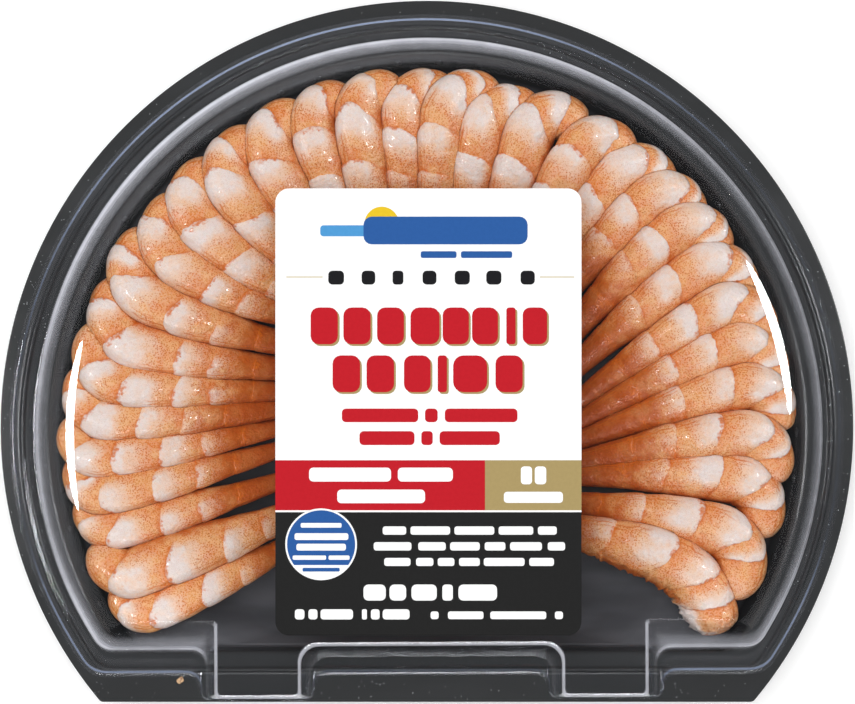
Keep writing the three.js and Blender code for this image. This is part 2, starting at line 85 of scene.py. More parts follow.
class Graph:
    """A material's node tree, with a short way to add the nodes that the finishes use."""

    def __init__(self, name: str) -> None:
        """Start an empty material.

        Args:
            name: the material's name.
        """
        self.material = bpy.data.materials.new(name)
        self.material.use_nodes = True
        self.tree = self.material.node_tree
        self.tree.nodes.clear()

    def node(self, kind: str, **settings: object) -> bpy.types.Node:
        """Add a node and set its properties.

        Args:
            kind: the node type without its Shader prefix, such as NodeMath.
            **settings: properties by name.

        Returns:
            The new node.
        """
        made = self.tree.nodes.new("Shader" + kind)
        for key, value in settings.items():
            setattr(made, key, value)
        return made

    def feed(self, socket: bpy.types.NodeSocket, value: object) -> None:
        """Link a socket to another one, or set it to a plain value.

        Args:
            socket: the input socket.
            value: an output socket, or a plain value.
        """
        if isinstance(value, bpy.types.NodeSocket):
            self.tree.links.new(value, socket)
        else:
            socket.default_value = value

    def place(self) -> bpy.types.NodeSocket:
        """Object coordinates, in metres."""
        return self.node("NodeTexCoord").outputs["Object"]

    def height(self) -> bpy.types.NodeSocket:
        """The object coordinate along Z.

        Returns:
            The socket that holds it, in metres.
        """
        split = self.node("NodeSeparateXYZ")
        self.feed(split.inputs[0], self.place())
        return split.outputs["Z"]

    def attribute(self, name: str) -> bpy.types.NodeSocket:
        """A number that the mesh stores at each point."""
        return self.node("NodeAttribute", attribute_name=name).outputs["Fac"]

    def maths(self, operation: str, first: object, second: object = 0.0) -> bpy.types.NodeSocket:
        """Combine two numbers.

        Args:
            operation: the Math node's operation, such as ADD.
            first: a socket or a number.
            second: a socket or a number, which some operations don't use.

        Returns:
            The socket that holds the result.
        """
        made = self.node("NodeMath", operation=operation)
        self.feed(made.inputs[0], first)
        self.feed(made.inputs[1], second)
        return made.outputs[0]

    def ramp(self, value: object, low: float, high: float, to_low: float = 0.0, to_high: float = 1.0,
             smooth: bool = True) -> bpy.types.NodeSocket:
        """Map a range of numbers onto another, held at its ends.

        Args:
            value: the number to map.
            low: where the range starts.
            high: where it ends.
            to_low: what the start becomes.
            to_high: what the end becomes.
            smooth: whether the change eases in and out.

        Returns:
            The socket that holds the result.
        """
        made = self.node("NodeMapRange", interpolation_type="SMOOTHSTEP" if smooth else "LINEAR")
        for name, content in zip(("Value", "From Min", "From Max", "To Min", "To Max"),
                                 (value, low, high, to_low, to_high)):
            self.feed(made.inputs[name], content)
        return made.outputs[0]

    def noise(self, scale: float, detail: float = 2.0, roughness: float = 0.5,
              vector: object = None) -> bpy.types.NodeSocket:
        """Cloudy noise from 0 to 1.

        Args:
            scale: cells for each metre.
            detail: how many finer layers are added.
            roughness: how strong those are.
            vector: where it is looked up, or None for the object's own coordinates.

        Returns:
            The socket that holds it.
        """
        made = self.node("NodeTexNoise")
        self.feed(made.inputs["Vector"], self.place() if vector is None else vector)
        made.inputs["Scale"].default_value = scale
        made.inputs["Detail"].default_value = detail
        made.inputs["Roughness"].default_value = roughness
        return made.outputs["Fac"]

    def dots(self, scale: float) -> bpy.types.NodeSocket:
        """Distance to the nearest of many scattered dots.

        Args:
            scale: cells for each metre, with a dot in each.

        Returns:
            The socket that holds it, in cells.
        """
        made = self.node("NodeTexVoronoi", feature="F1")
        self.feed(made.inputs["Vector"], self.place())
        made.inputs["Scale"].default_value = scale
        return made.outputs["Distance"]

    def mix(self, share: object, under: object, over: object) -> bpy.types.NodeSocket:
        """Lay one colour over another.

        Args:
            share: how much of it, from 0 to 1.
            under: the colour below.
            over: the colour on top.

        Returns:
            The socket that holds the result.
        """
        made = self.node("NodeMix", data_type="RGBA", blend_type="MIX", clamp_factor=True)
        self.feed(made.inputs[0], share)
        self.feed(made.inputs[6], under)
        self.feed(made.inputs[7], over)
        return made.outputs[2]

    def bump(self, height: object, depth: float, strength: float = 1.0) -> bpy.types.NodeSocket:
        """Turn a height from 0 to 1 into a bumpy normal.

        Args:
            height: the height.
            depth: how many metres a height of 1 stands for.
            strength: how much of the bump is used.

        Returns:
            The socket that holds the normal.
        """
        made = self.node("NodeBump")
        made.inputs["Strength"].default_value = strength
        made.inputs["Distance"].default_value = depth
        self.feed(made.inputs["Height"], height)
        return made.outputs["Normal"]

    def principled(self, **inputs: object) -> bpy.types.NodeSocket:
        """Add a Principled shader.

        Args:
            **inputs: sockets or plain values by input name, with underscores for spaces.

        Returns:
            The shader's socket.
        """
        made = self.node("NodeBsdfPrincipled")
        for key, value in inputs.items():
            self.feed(made.inputs[key.replace("_", " ")], value)
        return made.outputs["BSDF"]

    def finish(self, surface: bpy.types.NodeSocket) -> bpy.types.Material:
        """Send a shader to the output and return the material."""
        self.feed(self.node("NodeOutputMaterial").inputs["Surface"], surface)
        return self.material


# ------------------------------------------------------------------------------------- finishes


@dataclass(frozen=True)
class ShrimpFlesh:
    """Cooked shrimp: pale patches, orange pigment in fine dots that merge, and darker creases and cuts."""

    pale: Colour = srgb(231, 216, 208)
    milky: Colour = srgb(236, 202, 176)
    peach: Colour = srgb(232, 162, 92)
    orange: Colour = srgb(224, 126, 40)
    deep: Colour = srgb(180, 80, 22)
    crease: Colour = srgb(208, 106, 22)
    dot: Colour = srgb(188, 92, 20)

    def material(self) -> bpy.types.Material:
        """Build the material from the attributes patch, milky, deep, crease, over, top and tile.

        Returns:
            The material.
        """
        g = Graph("shrimp_flesh")
        blotches = g.noise(170.0, 3.0, 0.6)
        fine = g.noise(700.0, 3.0, 0.65)
        spots = g.dots(1750.0)
        pigment = g.mix(g.ramp(blotches, 0.36, 0.64), self.peach, self.orange)
        # deep is deep orange: the tail's own colour, and on the flanks and towards the head's end partly
        # painted shade.
        deep = g.maths("ADD", g.attribute("deep"), g.ramp(blotches, 0.3, 0.7, -0.12, 0.12))
        pigment = g.mix(g.ramp(deep, 0.05, 0.95), pigment, self.deep)
        ragged = g.maths("ADD", g.ramp(fine, 0.2, 0.8, -0.14, 0.14, False),
                         g.ramp(blotches, 0.2, 0.8, -0.25, 0.25, False))
        patch = g.maths("ADD", g.attribute("patch"), ragged)
        milky = g.ramp(g.maths("ADD", g.attribute("milky"), ragged), 0.0, 1.1, 1.0, 0.42)
        pigmented = g.maths("MULTIPLY", g.ramp(patch, 0.1, 1.0, 1.0, 0.0), milky)
        pigmented = g.maths("MAXIMUM", pigmented, g.ramp(deep, 0.2, 0.9))
        reach = g.maths("MINIMUM", g.maths("MULTIPLY", pigmented, 0.9), 0.5)
        dotted = g.ramp(spots, g.maths("SUBTRACT", reach, 0.16), g.maths("ADD", reach, 0.04), 1.0, 0.0)
        cover = g.maths("ADD", g.maths("MULTIPLY", dotted, 0.4), g.maths("MULTIPLY", pigmented, 0.76))
        cover = g.maths("ADD", cover, g.ramp(deep, 0.1, 0.8, 0.0, 0.3))
        bare = g.mix(g.ramp(patch, 0.55, 1.0), self.milky, self.pale)
        bare = g.mix(g.ramp(g.noise(240.0, 3.0, 0.6), 0.45, 0.7, 0.0, 0.4), bare, self.milky)
        colour = g.mix(cover, bare, pigment)
        crowd = g.ramp(g.noise(260.0, 2.0), 0.36, 0.62, 0.4, 1.0)
        points = g.maths("MULTIPLY", g.ramp(spots, 0.26, 0.44, 1.0, 0.0), crowd)
        colour = g.mix(g.maths("MULTIPLY", points, g.ramp(pigmented, 0.0, 0.5, 0.15, 0.8)), colour, self.dot)
        shown = g.ramp(blotches, 0.4, 0.58, 0.15, 1.0)
        within = g.maths("ADD", g.maths("FRACT", g.attribute("tile")), g.maths("MULTIPLY", ragged, 0.5))
        torn = g.maths("MAXIMUM", g.attribute("crease"), g.ramp(within, 0.94, 1.02))
        edge = g.maths("MULTIPLY", torn, g.ramp(fine, 0.3, 0.6, 0.2, 0.9))
        colour = g.mix(g.maths("MULTIPLY", edge, shown), colour, self.crease)
        colour = g.mix(g.maths("MULTIPLY", self.cuts(g), 0.75), colour, self.crease)
        wet = g.noise(800.0, 2.0)
        wrinkles = g.maths("ADD", g.maths("MULTIPLY", g.noise(300.0, 3.0, 0.6), 2.2), fine)
        surface = g.principled(
            Base_Color=colour,
            Roughness=g.ramp(fine, 0.3, 0.7, 0.36, 0.54),
            Specular_IOR_Level=0.16,
            Coat_Weight=g.ramp(wet, 0.6, 0.7, 0.02, 0.5),
            Coat_Roughness=0.1,
            Subsurface_Weight=0.12,
            Subsurface_Radius=(0.004, 0.002, 0.0012),
            Subsurface_Scale=0.7,
            Normal=g.bump(wrinkles, 0.0006, 0.6),
        )
        return g.finish(surface)

    @staticmethod
    def cuts(g: Graph) -> bpy.types.NodeSocket:
        """Two thin lines along the back of each ring's first half, where the vein was cut out.

        Args:
            g: the graph that takes the nodes.

        Returns:
            The socket that says how much of a line there is.
        """
        waver = g.maths("MULTIPLY", g.maths("SUBTRACT", g.noise(200.0, 3.0), 0.5), 0.45)
        over = g.maths("ADD", g.attribute("over"), waver)
        first = g.ramp(g.maths("ABSOLUTE", over), 0.015, 0.06, 1.0, 0.0)
        second = g.ramp(g.maths("ABSOLUTE", g.maths("SUBTRACT", over, 0.2)), 0.01, 0.04, 0.6, 0.0)
        lines = g.maths("MAXIMUM", first, second)
        within = g.maths("FRACT", g.attribute("tile"))
        front = g.ramp(g.attribute("tile"), 1.9, 2.0, 0.95, 0.42)
        reach = g.ramp(g.maths("SUBTRACT", g.maths("ADD", within, waver), front), 0.0, 0.2, 1.0, 0.0)
        top = g.ramp(g.attribute("top"), 0.0, 0.3)
        return g.maths("MULTIPLY", g.maths("MULTIPLY", lines, reach), top)


@dataclass(frozen=True)
class BlackPlastic:
    """Satin black sheet with a fine speckle and lighter streaks; painted shade darkens all below the flange,
    and a painted grey reflection lies in streaks on the bowl's floor.
    """

    body: Colour = srgb(52, 53, 54)
    # The inner colour is painted shade for all below the flange.
    inner: Colour = srgb(33, 34, 36)
    fleck: Colour = srgb(62, 64, 66)
    # Grey of a painted reflection on the bowl's floor.
    painted_reflection_grey: Colour = srgb(95, 95, 99)
    floor_height: float = 0.011
    floor_fade: float = 0.003
    wall_height: float = 0.0195
    wall_fade: float = 0.0015
    streak_angle: float = math.radians(-48)
    streak_scale: tuple[float, float, float] = (14.0, 62.0, 14.0)
    roughness: float = 0.17

    def material(self) -> bpy.types.Material:
        """Build the material.

        Returns:
            The material.
        """
        g = Graph("black_plastic")
        grain = g.noise(1400.0, 2.0)
        flecks = g.ramp(g.dots(900.0), 0.05, 0.16, 0.12, 0.0)
        turned = g.node("NodeMapping")
        g.feed(turned.inputs["Vector"], g.place())
        turned.inputs["Rotation"].default_value = (0.0, 0.0, self.streak_angle)
        turned.inputs["Scale"].default_value = self.streak_scale
        streak_noise = g.noise(1.0, 3.0, 0.5, turned.outputs["Vector"])
        # Painted shade: everything from just under the flange down, bowl and outer skirt alike, is darker.
        inside = g.ramp(g.height(), self.wall_height, self.wall_height + self.wall_fade, 1.0, 0.0)
        colour = g.mix(inside, self.body, self.inner)
        colour = g.mix(g.ramp(streak_noise, 0.45, 0.75, 0.0, 0.3), colour, self.fleck)
        # Painted reflection: lighter grey streaks on the bowl's floor.
        low = g.ramp(g.height(), self.floor_height, self.floor_height + self.floor_fade, 1.0, 0.0)
        painted_reflection_streaks = g.ramp(streak_noise, 0.35, 0.65, 0.5, 1.0)
        colour = g.mix(g.maths("MULTIPLY", low, painted_reflection_streaks), colour, self.painted_reflection_grey)
        colour = g.mix(flecks, colour, self.fleck)
        surface = g.principled(
            Base_Color=colour,
            Roughness=g.ramp(streak_noise, 0.3, 0.7, self.roughness - 0.03, self.roughness + 0.06),
            Specular_IOR_Level=0.08,
            Normal=g.bump(grain, 0.00001, 0.01),
        )
        return g.finish(surface)


@dataclass(frozen=True)
class ClearPlastic:
    """Clear formed sheet, under a matt milky layer that is partly haze and partly painted reflection.

    The attribute gloss says how well it mirrors, haze how much milky layer there is and bead how much of it
    is a bluish painted highlight.
    """

    tint: Colour = (0.99, 0.993, 1.0, 1.0)
    gloss: Colour = (0.95, 0.97, 1.0, 1.0)
    haze_and_glare: Colour = (0.80, 0.81, 0.88, 1.0)
    bead: Colour = (0.5, 0.61, 0.88, 1.0)
    head_on: float = 0.035
    roughness: float = 0.03

    def material(self) -> bpy.types.Material:
        """Build the material.

        Returns:
            The material.
        """
        g = Graph("clear_plastic")
        through = g.node("NodeBsdfTransparent")
        through.inputs["Color"].default_value = self.tint
        shine = g.node("NodeBsdfGlossy")
        shine.inputs["Color"].default_value = self.gloss
        shine.inputs["Roughness"].default_value = self.roughness
        ripple = g.bump(g.noise(45.0, 2.0), 0.0003, 0.09)
        g.feed(shine.inputs["Normal"], ripple)
        slant = g.node("NodeLayerWeight")
        slant.inputs["Blend"].default_value = 0.5
        g.feed(slant.inputs["Normal"], ripple)
        edge_on = g.maths("POWER", slant.outputs["Facing"], 5.0)
        mirrors = g.ramp(edge_on, 0.0, 1.0, self.head_on, 1.0, False)
        sheet = g.node("NodeMixShader")
        g.feed(sheet.inputs[0], g.maths("MULTIPLY", mirrors, g.attribute("gloss")))
        g.feed(sheet.inputs[1], through.outputs[0])
        g.feed(sheet.inputs[2], shine.outputs[0])
        # A matt milky layer that the lamps light: partly haze, partly painted reflection, and bluish on the
        # bead as a painted highlight.
        milk = g.node("NodeBsdfDiffuse")
        g.feed(milk.inputs["Color"], g.mix(g.attribute("bead"), self.haze_and_glare, self.bead))
        streaks = g.ramp(g.noise(160.0, 3.0, 0.6), 0.3, 0.7, 0.88, 1.1)
        whole = g.node("NodeMixShader")
        g.feed(whole.inputs[0], g.maths("MULTIPLY", g.attribute("haze_and_glare"), streaks))
        g.feed(whole.inputs[1], sheet.outputs[0])
        g.feed(whole.inputs[2], milk.outputs[0])
        return g.finish(whole.outputs[0])


@dataclass(frozen=True)
class PrintedPaper:
    """Coated label paper in one printed tone."""

    name: str
    colour: Colour
    fibre: float = 0.93

    def material(self) -> bpy.types.Material:
        """Build the material.

        Returns:
            The material.
        """
        g = Graph(self.name)
        grain = g.noise(900.0, 2.0)
        darker = tuple(channel * self.fibre for channel in self.colour[:3]) + (1.0,)
        surface = g.principled(
            Base_Color=g.mix(g.ramp(grain, 0.35, 0.65, 0.0, 0.5), self.colour, darker),
            Roughness=g.ramp(grain, 0.3, 0.7, 0.65, 0.75),
            Specular_IOR_Level=0.02,
            Normal=g.bump(grain, 0.00001, 0.3),
        )
        return g.finish(surface)


@dataclass(frozen=True)
class Crumbly:
    """Specks of dust or a crumb, in two tones."""

    name: str
    light: Colour
    dark: Colour

    def material(self) -> bpy.types.Material:
        """Build the material.

        Returns:
            The material.
        """
        g = Graph(self.name)
        grain = g.noise(1800.0, 3.0)
        surface = g.principled(
            Base_Color=g.mix(g.ramp(grain, 0.35, 0.65), self.light, self.dark),
            Roughness=0.8,
            Normal=g.bump(grain, 0.0001, 0.6),
        )
        return g.finish(surface)


# ------------------------------------------------------------------------------------- mesh helpers


def to_mesh(bm: bmesh.types.BMesh, name: str, sharp_angle: float = 40.0) -> bpy.types.Mesh:
    """Turn a bmesh in millimetres into a smooth-shaded mesh in metres.

    Args:
        bm: the finished bmesh, which is freed.
        name: the mesh's name.
        sharp_angle: edges that turn by more than this many degrees stay sharp.

    Returns:
        The mesh.
    """
    bmesh.ops.scale(bm, vec=Vector((MM, MM, MM)), verts=bm.verts)
    mesh = bpy.data.meshes.new(name)
    bm.to_mesh(mesh)
    bm.free()
    mesh.shade_smooth()
    mesh.set_sharp_from_angle(angle=math.radians(sharp_angle))
    return mesh


def to_piece(mesh: bpy.types.Mesh, materials: Sequence[bpy.types.Material],
             replaces: Iterable[str] = ()) -> bpy.types.Object:
    """Put a mesh in the scene as a piece of the object.

    Args:
        mesh: a mesh in metres, in its place.
        materials: its materials, in the order of its faces' indices.
        replaces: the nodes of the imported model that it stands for.

    Returns:
        The piece.
    """
    piece = bpy.data.objects.new(mesh.name, mesh)
    bpy.context.scene.collection.objects.link(piece)
    for material in materials:
        mesh.materials.append(material)
    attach(piece, "root")
    for node in replaces:
        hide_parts(node)
    LOG.info("%s: %d faces", piece.name, len(mesh.polygons))
    return piece


def loft(rings: Sequence[Sequence[Vector]], close_start: bool, close_end: bool,
         facts: dict[str, Sequence[Sequence[float]]] | None = None) -> bmesh.types.BMesh:
    """Draw one ring of points out through others into a skin.

    Args:
        rings: rings with the same number of points, in order.
        close_start: whether a face closes the first ring.
        close_end: whether a face closes the last ring.
        facts: numbers by name that the points carry, in the same order.

    Returns:
        A new bmesh whose normals point out.
    """
    bm = bmesh.new()
    spoke = bm.verts.layers.int.new("spoke")
    layers = {bm.verts.layers.float.new(name): values for name, values in (facts or {}).items()}
    circle = bmesh.ops.create_circle(bm, segments=len(rings[0]), radius=1.0)["verts"]

    def settle(vert: bmesh.types.BMVert, row: int) -> None:
        """Put a vertex in its place on a ring.

        Args:
            vert: the vertex.
            row: the ring's number.
        """
        vert.co = rings[row][vert[spoke]]
        for layer, values in layers.items():
            vert[layer] = values[row][vert[spoke]]

    for index, vert in enumerate(circle):
        vert[spoke] = index
        settle(vert, 0)
    edges = list(bm.edges)
    first = list(edges)
    for row in range(1, len(rings)):
        drawn = bmesh.ops.extrude_edge_only(bm, edges=edges)["geom"]
        for vert in (item for item in drawn if isinstance(item, bmesh.types.BMVert)):
            settle(vert, row)
        edges = [item for item in drawn if isinstance(item, bmesh.types.BMEdge)]
    if close_start:
        bmesh.ops.contextual_create(bm, geom=first)
    if close_end:
        bmesh.ops.contextual_create(bm, geom=edges)
    bmesh.ops.recalc_face_normals(bm, faces=bm.faces)
    return bm


def rounded(levels: Sequence[np.ndarray], radii: Sequence[float], steps: int = 5) -> list[np.ndarray]:
    """Round the inner corners of a profile whose levels hold height, radius and other sizes.

    Args:
        levels: the profile's levels, with height first and radius second.
        radii: how far from each corner its rounding starts, at most half of a side, or 0 for a sharp one.
        steps: parts in each rounding.

    Returns:
        The profile with its corners rounded.
    """
    smooth = [levels[0]]
    for before, corner, after, radius in zip(levels, levels[1:], levels[2:], radii[1:]):
        if radius == 0:
            smooth.append(corner)
            continue

        def towards(other: np.ndarray) -> np.ndarray:
            """The point where the rounding leaves a side."""
            length = float(np.hypot(*(other - corner)[:2]))
            return corner + (other - corner) * min(0.5, radius / max(length, 1e-6))

        start, end = towards(before), towards(after)
        for step in range(steps + 1):
            part = step / steps
            smooth.append((1 - part) ** 2 * start + 2 * part * (1 - part) * corner + part ** 2 * end)
    smooth.append(levels[-1])
    return smooth


def arc(centre: tuple[float, float], radius: float, start: float, end: float,
        steps: int) -> list[tuple[float, float]]:
    """Points along an arc, with its start but not its end."""
    angles = (start + (end - start) * step / steps for step in range(steps))
    return [(centre[0] + radius * math.cos(a), centre[1] + radius * math.sin(a)) for a in angles]


def smoothstep(low: float, high: float, value: np.ndarray | float) -> np.ndarray:
    """A smooth rise from 0 at low to 1 at high."""
    part = np.clip((value - low) / (high - low), 0.0, 1.0)
    return part * part * (3 - 2 * part)


def apart(first: np.ndarray, second: np.ndarray | float) -> np.ndarray:
    """How far one angle is from another, the shorter way round."""
    return np.abs((first - second + np.pi) % (2 * np.pi) - np.pi)


# ------------------------------------------------------------------------------------- tray


@dataclass
class Tray:
    """The black tray: bowl with a ring-shaped ledge, snap bead and wide flange with a straight front.

    Rows of bowl and rim are levels: height, radius, front and corner, with rim's heights measured from
    the flange's top. flange is the radius, front and corner of its edge, and neck those of its underside
    where it meets the bowl. knob_margin is how far the dimples keep from the straight front.
    """

    sheet: float = 0.9
    floor: float = 1.2
    back_steps: int = 120
    side_steps: int = 28
    corner_steps: int = 8
    rounding: float = 1.1
    edge_rounding: float = 0.3
    knob_pitch: float = math.radians(6.3)
    knob_reach: float = 121.6
    knob_size: float = 1.5
    knob_flatness: float = 0.45
    knob_lean: float = math.radians(-58)
    knob_depth: float = 0.2
    knob_margin: float = 4.0
    flange: tuple[float, float, float] = (140, 90.2, 2)
    flange_thickness: float = 1.0
    neck: tuple[float, float, float] = (126, 73.9, 8.9)
    rim: tuple[tuple[float, float, float, float], ...] = (
        (0, 133.5, 78.8, 8.4),
        (1.6, 133.2, 78.4, 8.2),
        (1.6, 132.2, 77.5, 8),
        (0, 131.8, 77, 8),
        (0, 125, 72.8, 8),
    )
    bowl: tuple[tuple[float, float, float, float], ...] = (
        (1.2, 80, 65.1, 14),
        (2.4, 84.5, 66.8, 13),
        (8.2, 93.5, 69.6, 12),
        (9.5, 96.5, 70.2, 11),
        (9.9, 114.5, 70.8, 9),
        (12.6, 118.6, 71.2, 8.5),
        (21.2, 123.8, 72, 8),
    )

    def levels(self) -> list[np.ndarray]:
        """List every level, from underneath round to the floor.

        Returns:
            Each level's height, radius, front, corner and centre.
        """
        def level(z: float, radius: float, front: float, corner: float,
                  centre: float = BOWL_CENTRE_Y) -> np.ndarray:
            """One level's sizes as a row."""
            return np.array((z, radius, front, corner, centre), dtype=float)

        underside = FLANGE_TOP - self.flange_thickness
        return [
            *(level(z - self.floor, r + self.sheet, f + self.sheet, c + self.sheet)
              for z, r, f, c in self.bowl),
            level(underside, *self.neck),
            level(underside, *self.flange, FLANGE_CENTRE_Y),
            level(FLANGE_TOP, *self.flange, FLANGE_CENTRE_Y),
            *(level(FLANGE_TOP + z, *sizes) for z, *sizes in self.rim),
            *(level(*row) for row in reversed(self.bowl)),
        ]

    def outline(self, level: np.ndarray) -> list[Vector]:
        """Points round one level, from the middle of its front, anticlockwise seen from above.

        Args:
            level: the level's height, radius, front, corner and centre.

        Returns:
            The points.
        """
        z, radius, front, corner, centre_y = (float(value) for value in level)
        corner_x = math.sqrt((radius - corner) ** 2 - (front - corner) ** 2)
        corner_y = corner - front
        meeting = math.atan2(corner_y, corner_x)
        points = [(0.0, -front)]
        points += arc((corner_x, corner_y), corner, -math.pi / 2, meeting, self.corner_steps)
        points += arc((0, 0), radius, meeting, 0, self.side_steps)
        points += arc((0, 0), radius, 0, math.pi, self.back_steps)
        points += arc((0, 0), radius, math.pi, math.pi - meeting, self.side_steps)
        points += arc((-corner_x, corner_y), corner, math.pi - meeting, 1.5 * math.pi, self.corner_steps)
        points.append((-corner_x, -front))
        return [Vector((x, centre_y + y, z)) for x, y in points]

    def wall_height(self, reach: float) -> float:
        """Height of the bowl's inside at a distance from its centre."""
        return float(np.interp(reach, [row[1] for row in self.bowl], [row[0] for row in self.bowl]))

    def knobs(self) -> bpy.types.Mesh:
        """Small round dimples that stand in from the top of the bowl's wall.

        Returns:
            Their mesh.
        """
        bm = bmesh.new()
        depth = self.wall_height(self.knob_reach) - self.knob_depth
        flat = Matrix.Diagonal((1, 1, self.knob_flatness, 1))
        for number in range(int(2 * math.pi / self.knob_pitch)):
            angle = number * self.knob_pitch
            x, y = self.knob_reach * math.cos(angle), self.knob_reach * math.sin(angle)
            if y < self.knob_margin - self.bowl[-1][2]:
                continue
            place = Matrix.Translation((x, BOWL_CENTRE_Y + y, depth))
            lean = Matrix.Rotation(angle, 4, "Z") @ Matrix.Rotation(self.knob_lean, 4, "Y")
            bmesh.ops.create_uvsphere(
                bm, u_segments=14, v_segments=8, radius=self.knob_size, matrix=place @ lean @ flat)
        return to_mesh(bm, "tray_knobs")

    def build(self) -> None:
        """Make the tray and its dimples."""
        plastic = BlackPlastic().material()
        levels = self.levels()
        radii = [self.edge_rounding if level[-1] == FLANGE_CENTRE_Y else self.rounding for level in levels]
        profile = rounded(levels, radii)
        mesh = to_mesh(loft([self.outline(level) for level in profile], True, True), "tray_shell")
        to_piece(mesh, [plastic], ["tray"])
        to_piece(self.knobs(), [plastic])


# ------------------------------------------------------------------------------------- lid


@dataclass(frozen=True)
class LidLevel:
    """Sizes of the lid's outline at one height.

    The dome has a radius about the bowl's centre. side and recess are where its straight front walls
    stand, beside and between the tongues. inner, outer and tip are a tongue's sides and front. The
    corners are the dome's front ones, the tongue's two and the coves where it meets the walls. haze is
    how much milky white the sheet has, partly haze and partly painted reflection, bead how much of that
    is a bluish painted highlight, and rounding how far the profile's corner is rounded.
    """

    z: float
    radius: float
    side: float
    recess: float
    inner: float
    outer: float
    tip: float
    corner: float
    bend: float
    inner_cove: float
    outer_cove: float
    haze_and_glare: float
    bead: float
    rounding: float


# The haze column is the milky white: low on the wall it paints the sheet's reflection as a bright band. The
# bead column paints a bluish highlight line on the bead.
LID_LEVELS = (
    LidLevel(22.3, 137.0, -106.9, -106.9, 38.4, 75.9, -114.2, 9.0, 2.2, 5.0, 5.0, 0.02, 0, 0),
    LidLevel(23.2, 137.0, -106.9, -106.9, 38.4, 75.9, -114.2, 9.0, 2.2, 5.0, 5.0, 0.015, 0, 0.4),
    LidLevel(24.7, 136.4, -106.5, -106.4, 38.6, 75.6, -114.1, 9.0, 2.2, 5.0, 5.0, 0.015, 0, 0.4),
    LidLevel(25.1, 135.7, -105.6, -105.6, 38.7, 75.5, -114.1, 9.0, 2.2, 5.0, 5.0, 0.015, 0, 0),
    # A painted bluish highlight line along the top of the bead.
    LidLevel(25.1, 135.4, -105.2, -105.2, 38.8, 75.4, -114.1, 9.0, 2.2, 5.0, 5.0, 0.3, 1.0, 0),
    LidLevel(25.1, 135.0, -104.8, -104.8, 38.9, 75.3, -114.1, 8.9, 2.2, 5.0, 5.0, 0.3, 1.0, 0),
    LidLevel(25.1, 134.8, -104.5, -104.5, 38.9, 75.2, -114.1, 8.8, 2.2, 5.1, 5.0, 0.015, 0, 0),
    LidLevel(25.1, 133.7, -103.9, -103.9, 39.0, 75.1, -114.1, 8.6, 2.2, 5.1, 5.0, 0.015, 0, 0),
    LidLevel(25.0, 132.9, -103.5, -103.6, 39.0, 75.1, -114.1, 8.4, 2.2, 5.2, 5.0, 0.005, 0, 0.3),
    LidLevel(24.2, 131.9, -102.7, -103.1, 39.1, 75.0, -114.0, 8.0, 2.2, 5.4, 5.0, 0.005, 0, 0.4),
    LidLevel(24.2, 130.9, -101.8, -102.4, 39.2, 74.7, -114.0, 7.7, 2.2, 5.6, 5.0, 0.012, 0, 0),
    LidLevel(24.2, 130.0, -101.0, -101.9, 39.3, 74.4, -114.0, 7.5, 2.2, 5.7, 5.0, 0.012, 0, 0),
    LidLevel(24.2, 129.7, -100.4, -101.4, 39.4, 74.3, -114.0, 7.4, 2.2, 5.8, 5.0, 0, 0, 0),
    LidLevel(24.2, 129.3, -97.9, -100.3, 39.6, 73.9, -113.9, 7.0, 2.2, 6.0, 5.0, 0, 0, 0.5),
    LidLevel(24.5, 129.1, -97.7, -100.2, 39.6, 73.9, -113.9, 7.0, 2.2, 6.0, 4.9, 0.6, 0, 0),
    LidLevel(25.0, 128.7, -97.4, -100.0, 39.7, 73.8, -113.8, 7.0, 2.2, 6.1, 4.8, 0.76, 0, 0),
    LidLevel(25.6, 128.1, -97.1, -99.8, 39.8, 73.6, -113.8, 6.9, 2.1, 6.2, 4.6, 0.38, 0, 0),
    LidLevel(26.4, 127.4, -96.6, -99.5, 39.9, 73.5, -113.7, 6.9, 2.1, 6.2, 4.4, 0.22, 0, 0),
    LidLevel(28.0, 126.5, -95.5, -99.0, 40.2, 73.1, -113.6, 6.8, 2.1, 6.3, 3.8, 0.15, 0, 0),
    LidLevel(30.2, 125.6, -93.9, -98.3, 40.6, 72.6, -113.5, 6.6, 2.0, 6.3, 3.2, 0.12, 0, 0),
    LidLevel(31.7, 125.1, -92.8, -97.9, 40.8, 72.4, -113.3, 6.5, 2.0, 6.2, 2.8, 0.07, 0, 0),
    LidLevel(32.0, 125.0, -92.6, -97.8, 40.9, 72.3, -113.3, 6.5, 2.0, 6.2, 2.7, 0, 0, 0.2),
    LidLevel(32.6, 124.2, -92.1, -97.7, 41.0, 72.1, -113.3, 6.5, 2.0, 6.2, 2.5, 0.01, 0, 0.3),
    LidLevel(34.0, 123.2, -91.5, -97.4, 41.2, 71.8, -113.2, 6.3, 2.0, 6.1, 2.2, 0.025, 0, 0),
    LidLevel(36.5, 121.6, -90.5, -96.8, 41.6, 71.3, -113.0, 6.2, 2.0, 6.0, 1.6, 0.045, 0, 0),
    LidLevel(38.6, 120.2, -89.6, -96.3, 41.9, 70.8, -112.8, 5.9, 2.0, 5.9, 1.3, 0, 0, 0),
    LidLevel(42.0, 118.0, -88.2, -95.5, 42.4, 70.1, -112.5, 5.5, 2.0, 5.8, 1.0, 0, 0, 5.5),
    # The last level only gives the rounding before it its direction.
    LidLevel(42.0, 108.0, -88.2, -95.5, 42.4, 70.1, -112.5, 5.5, 2.0, 5.8, 1.0, 0, 0, 0),
)


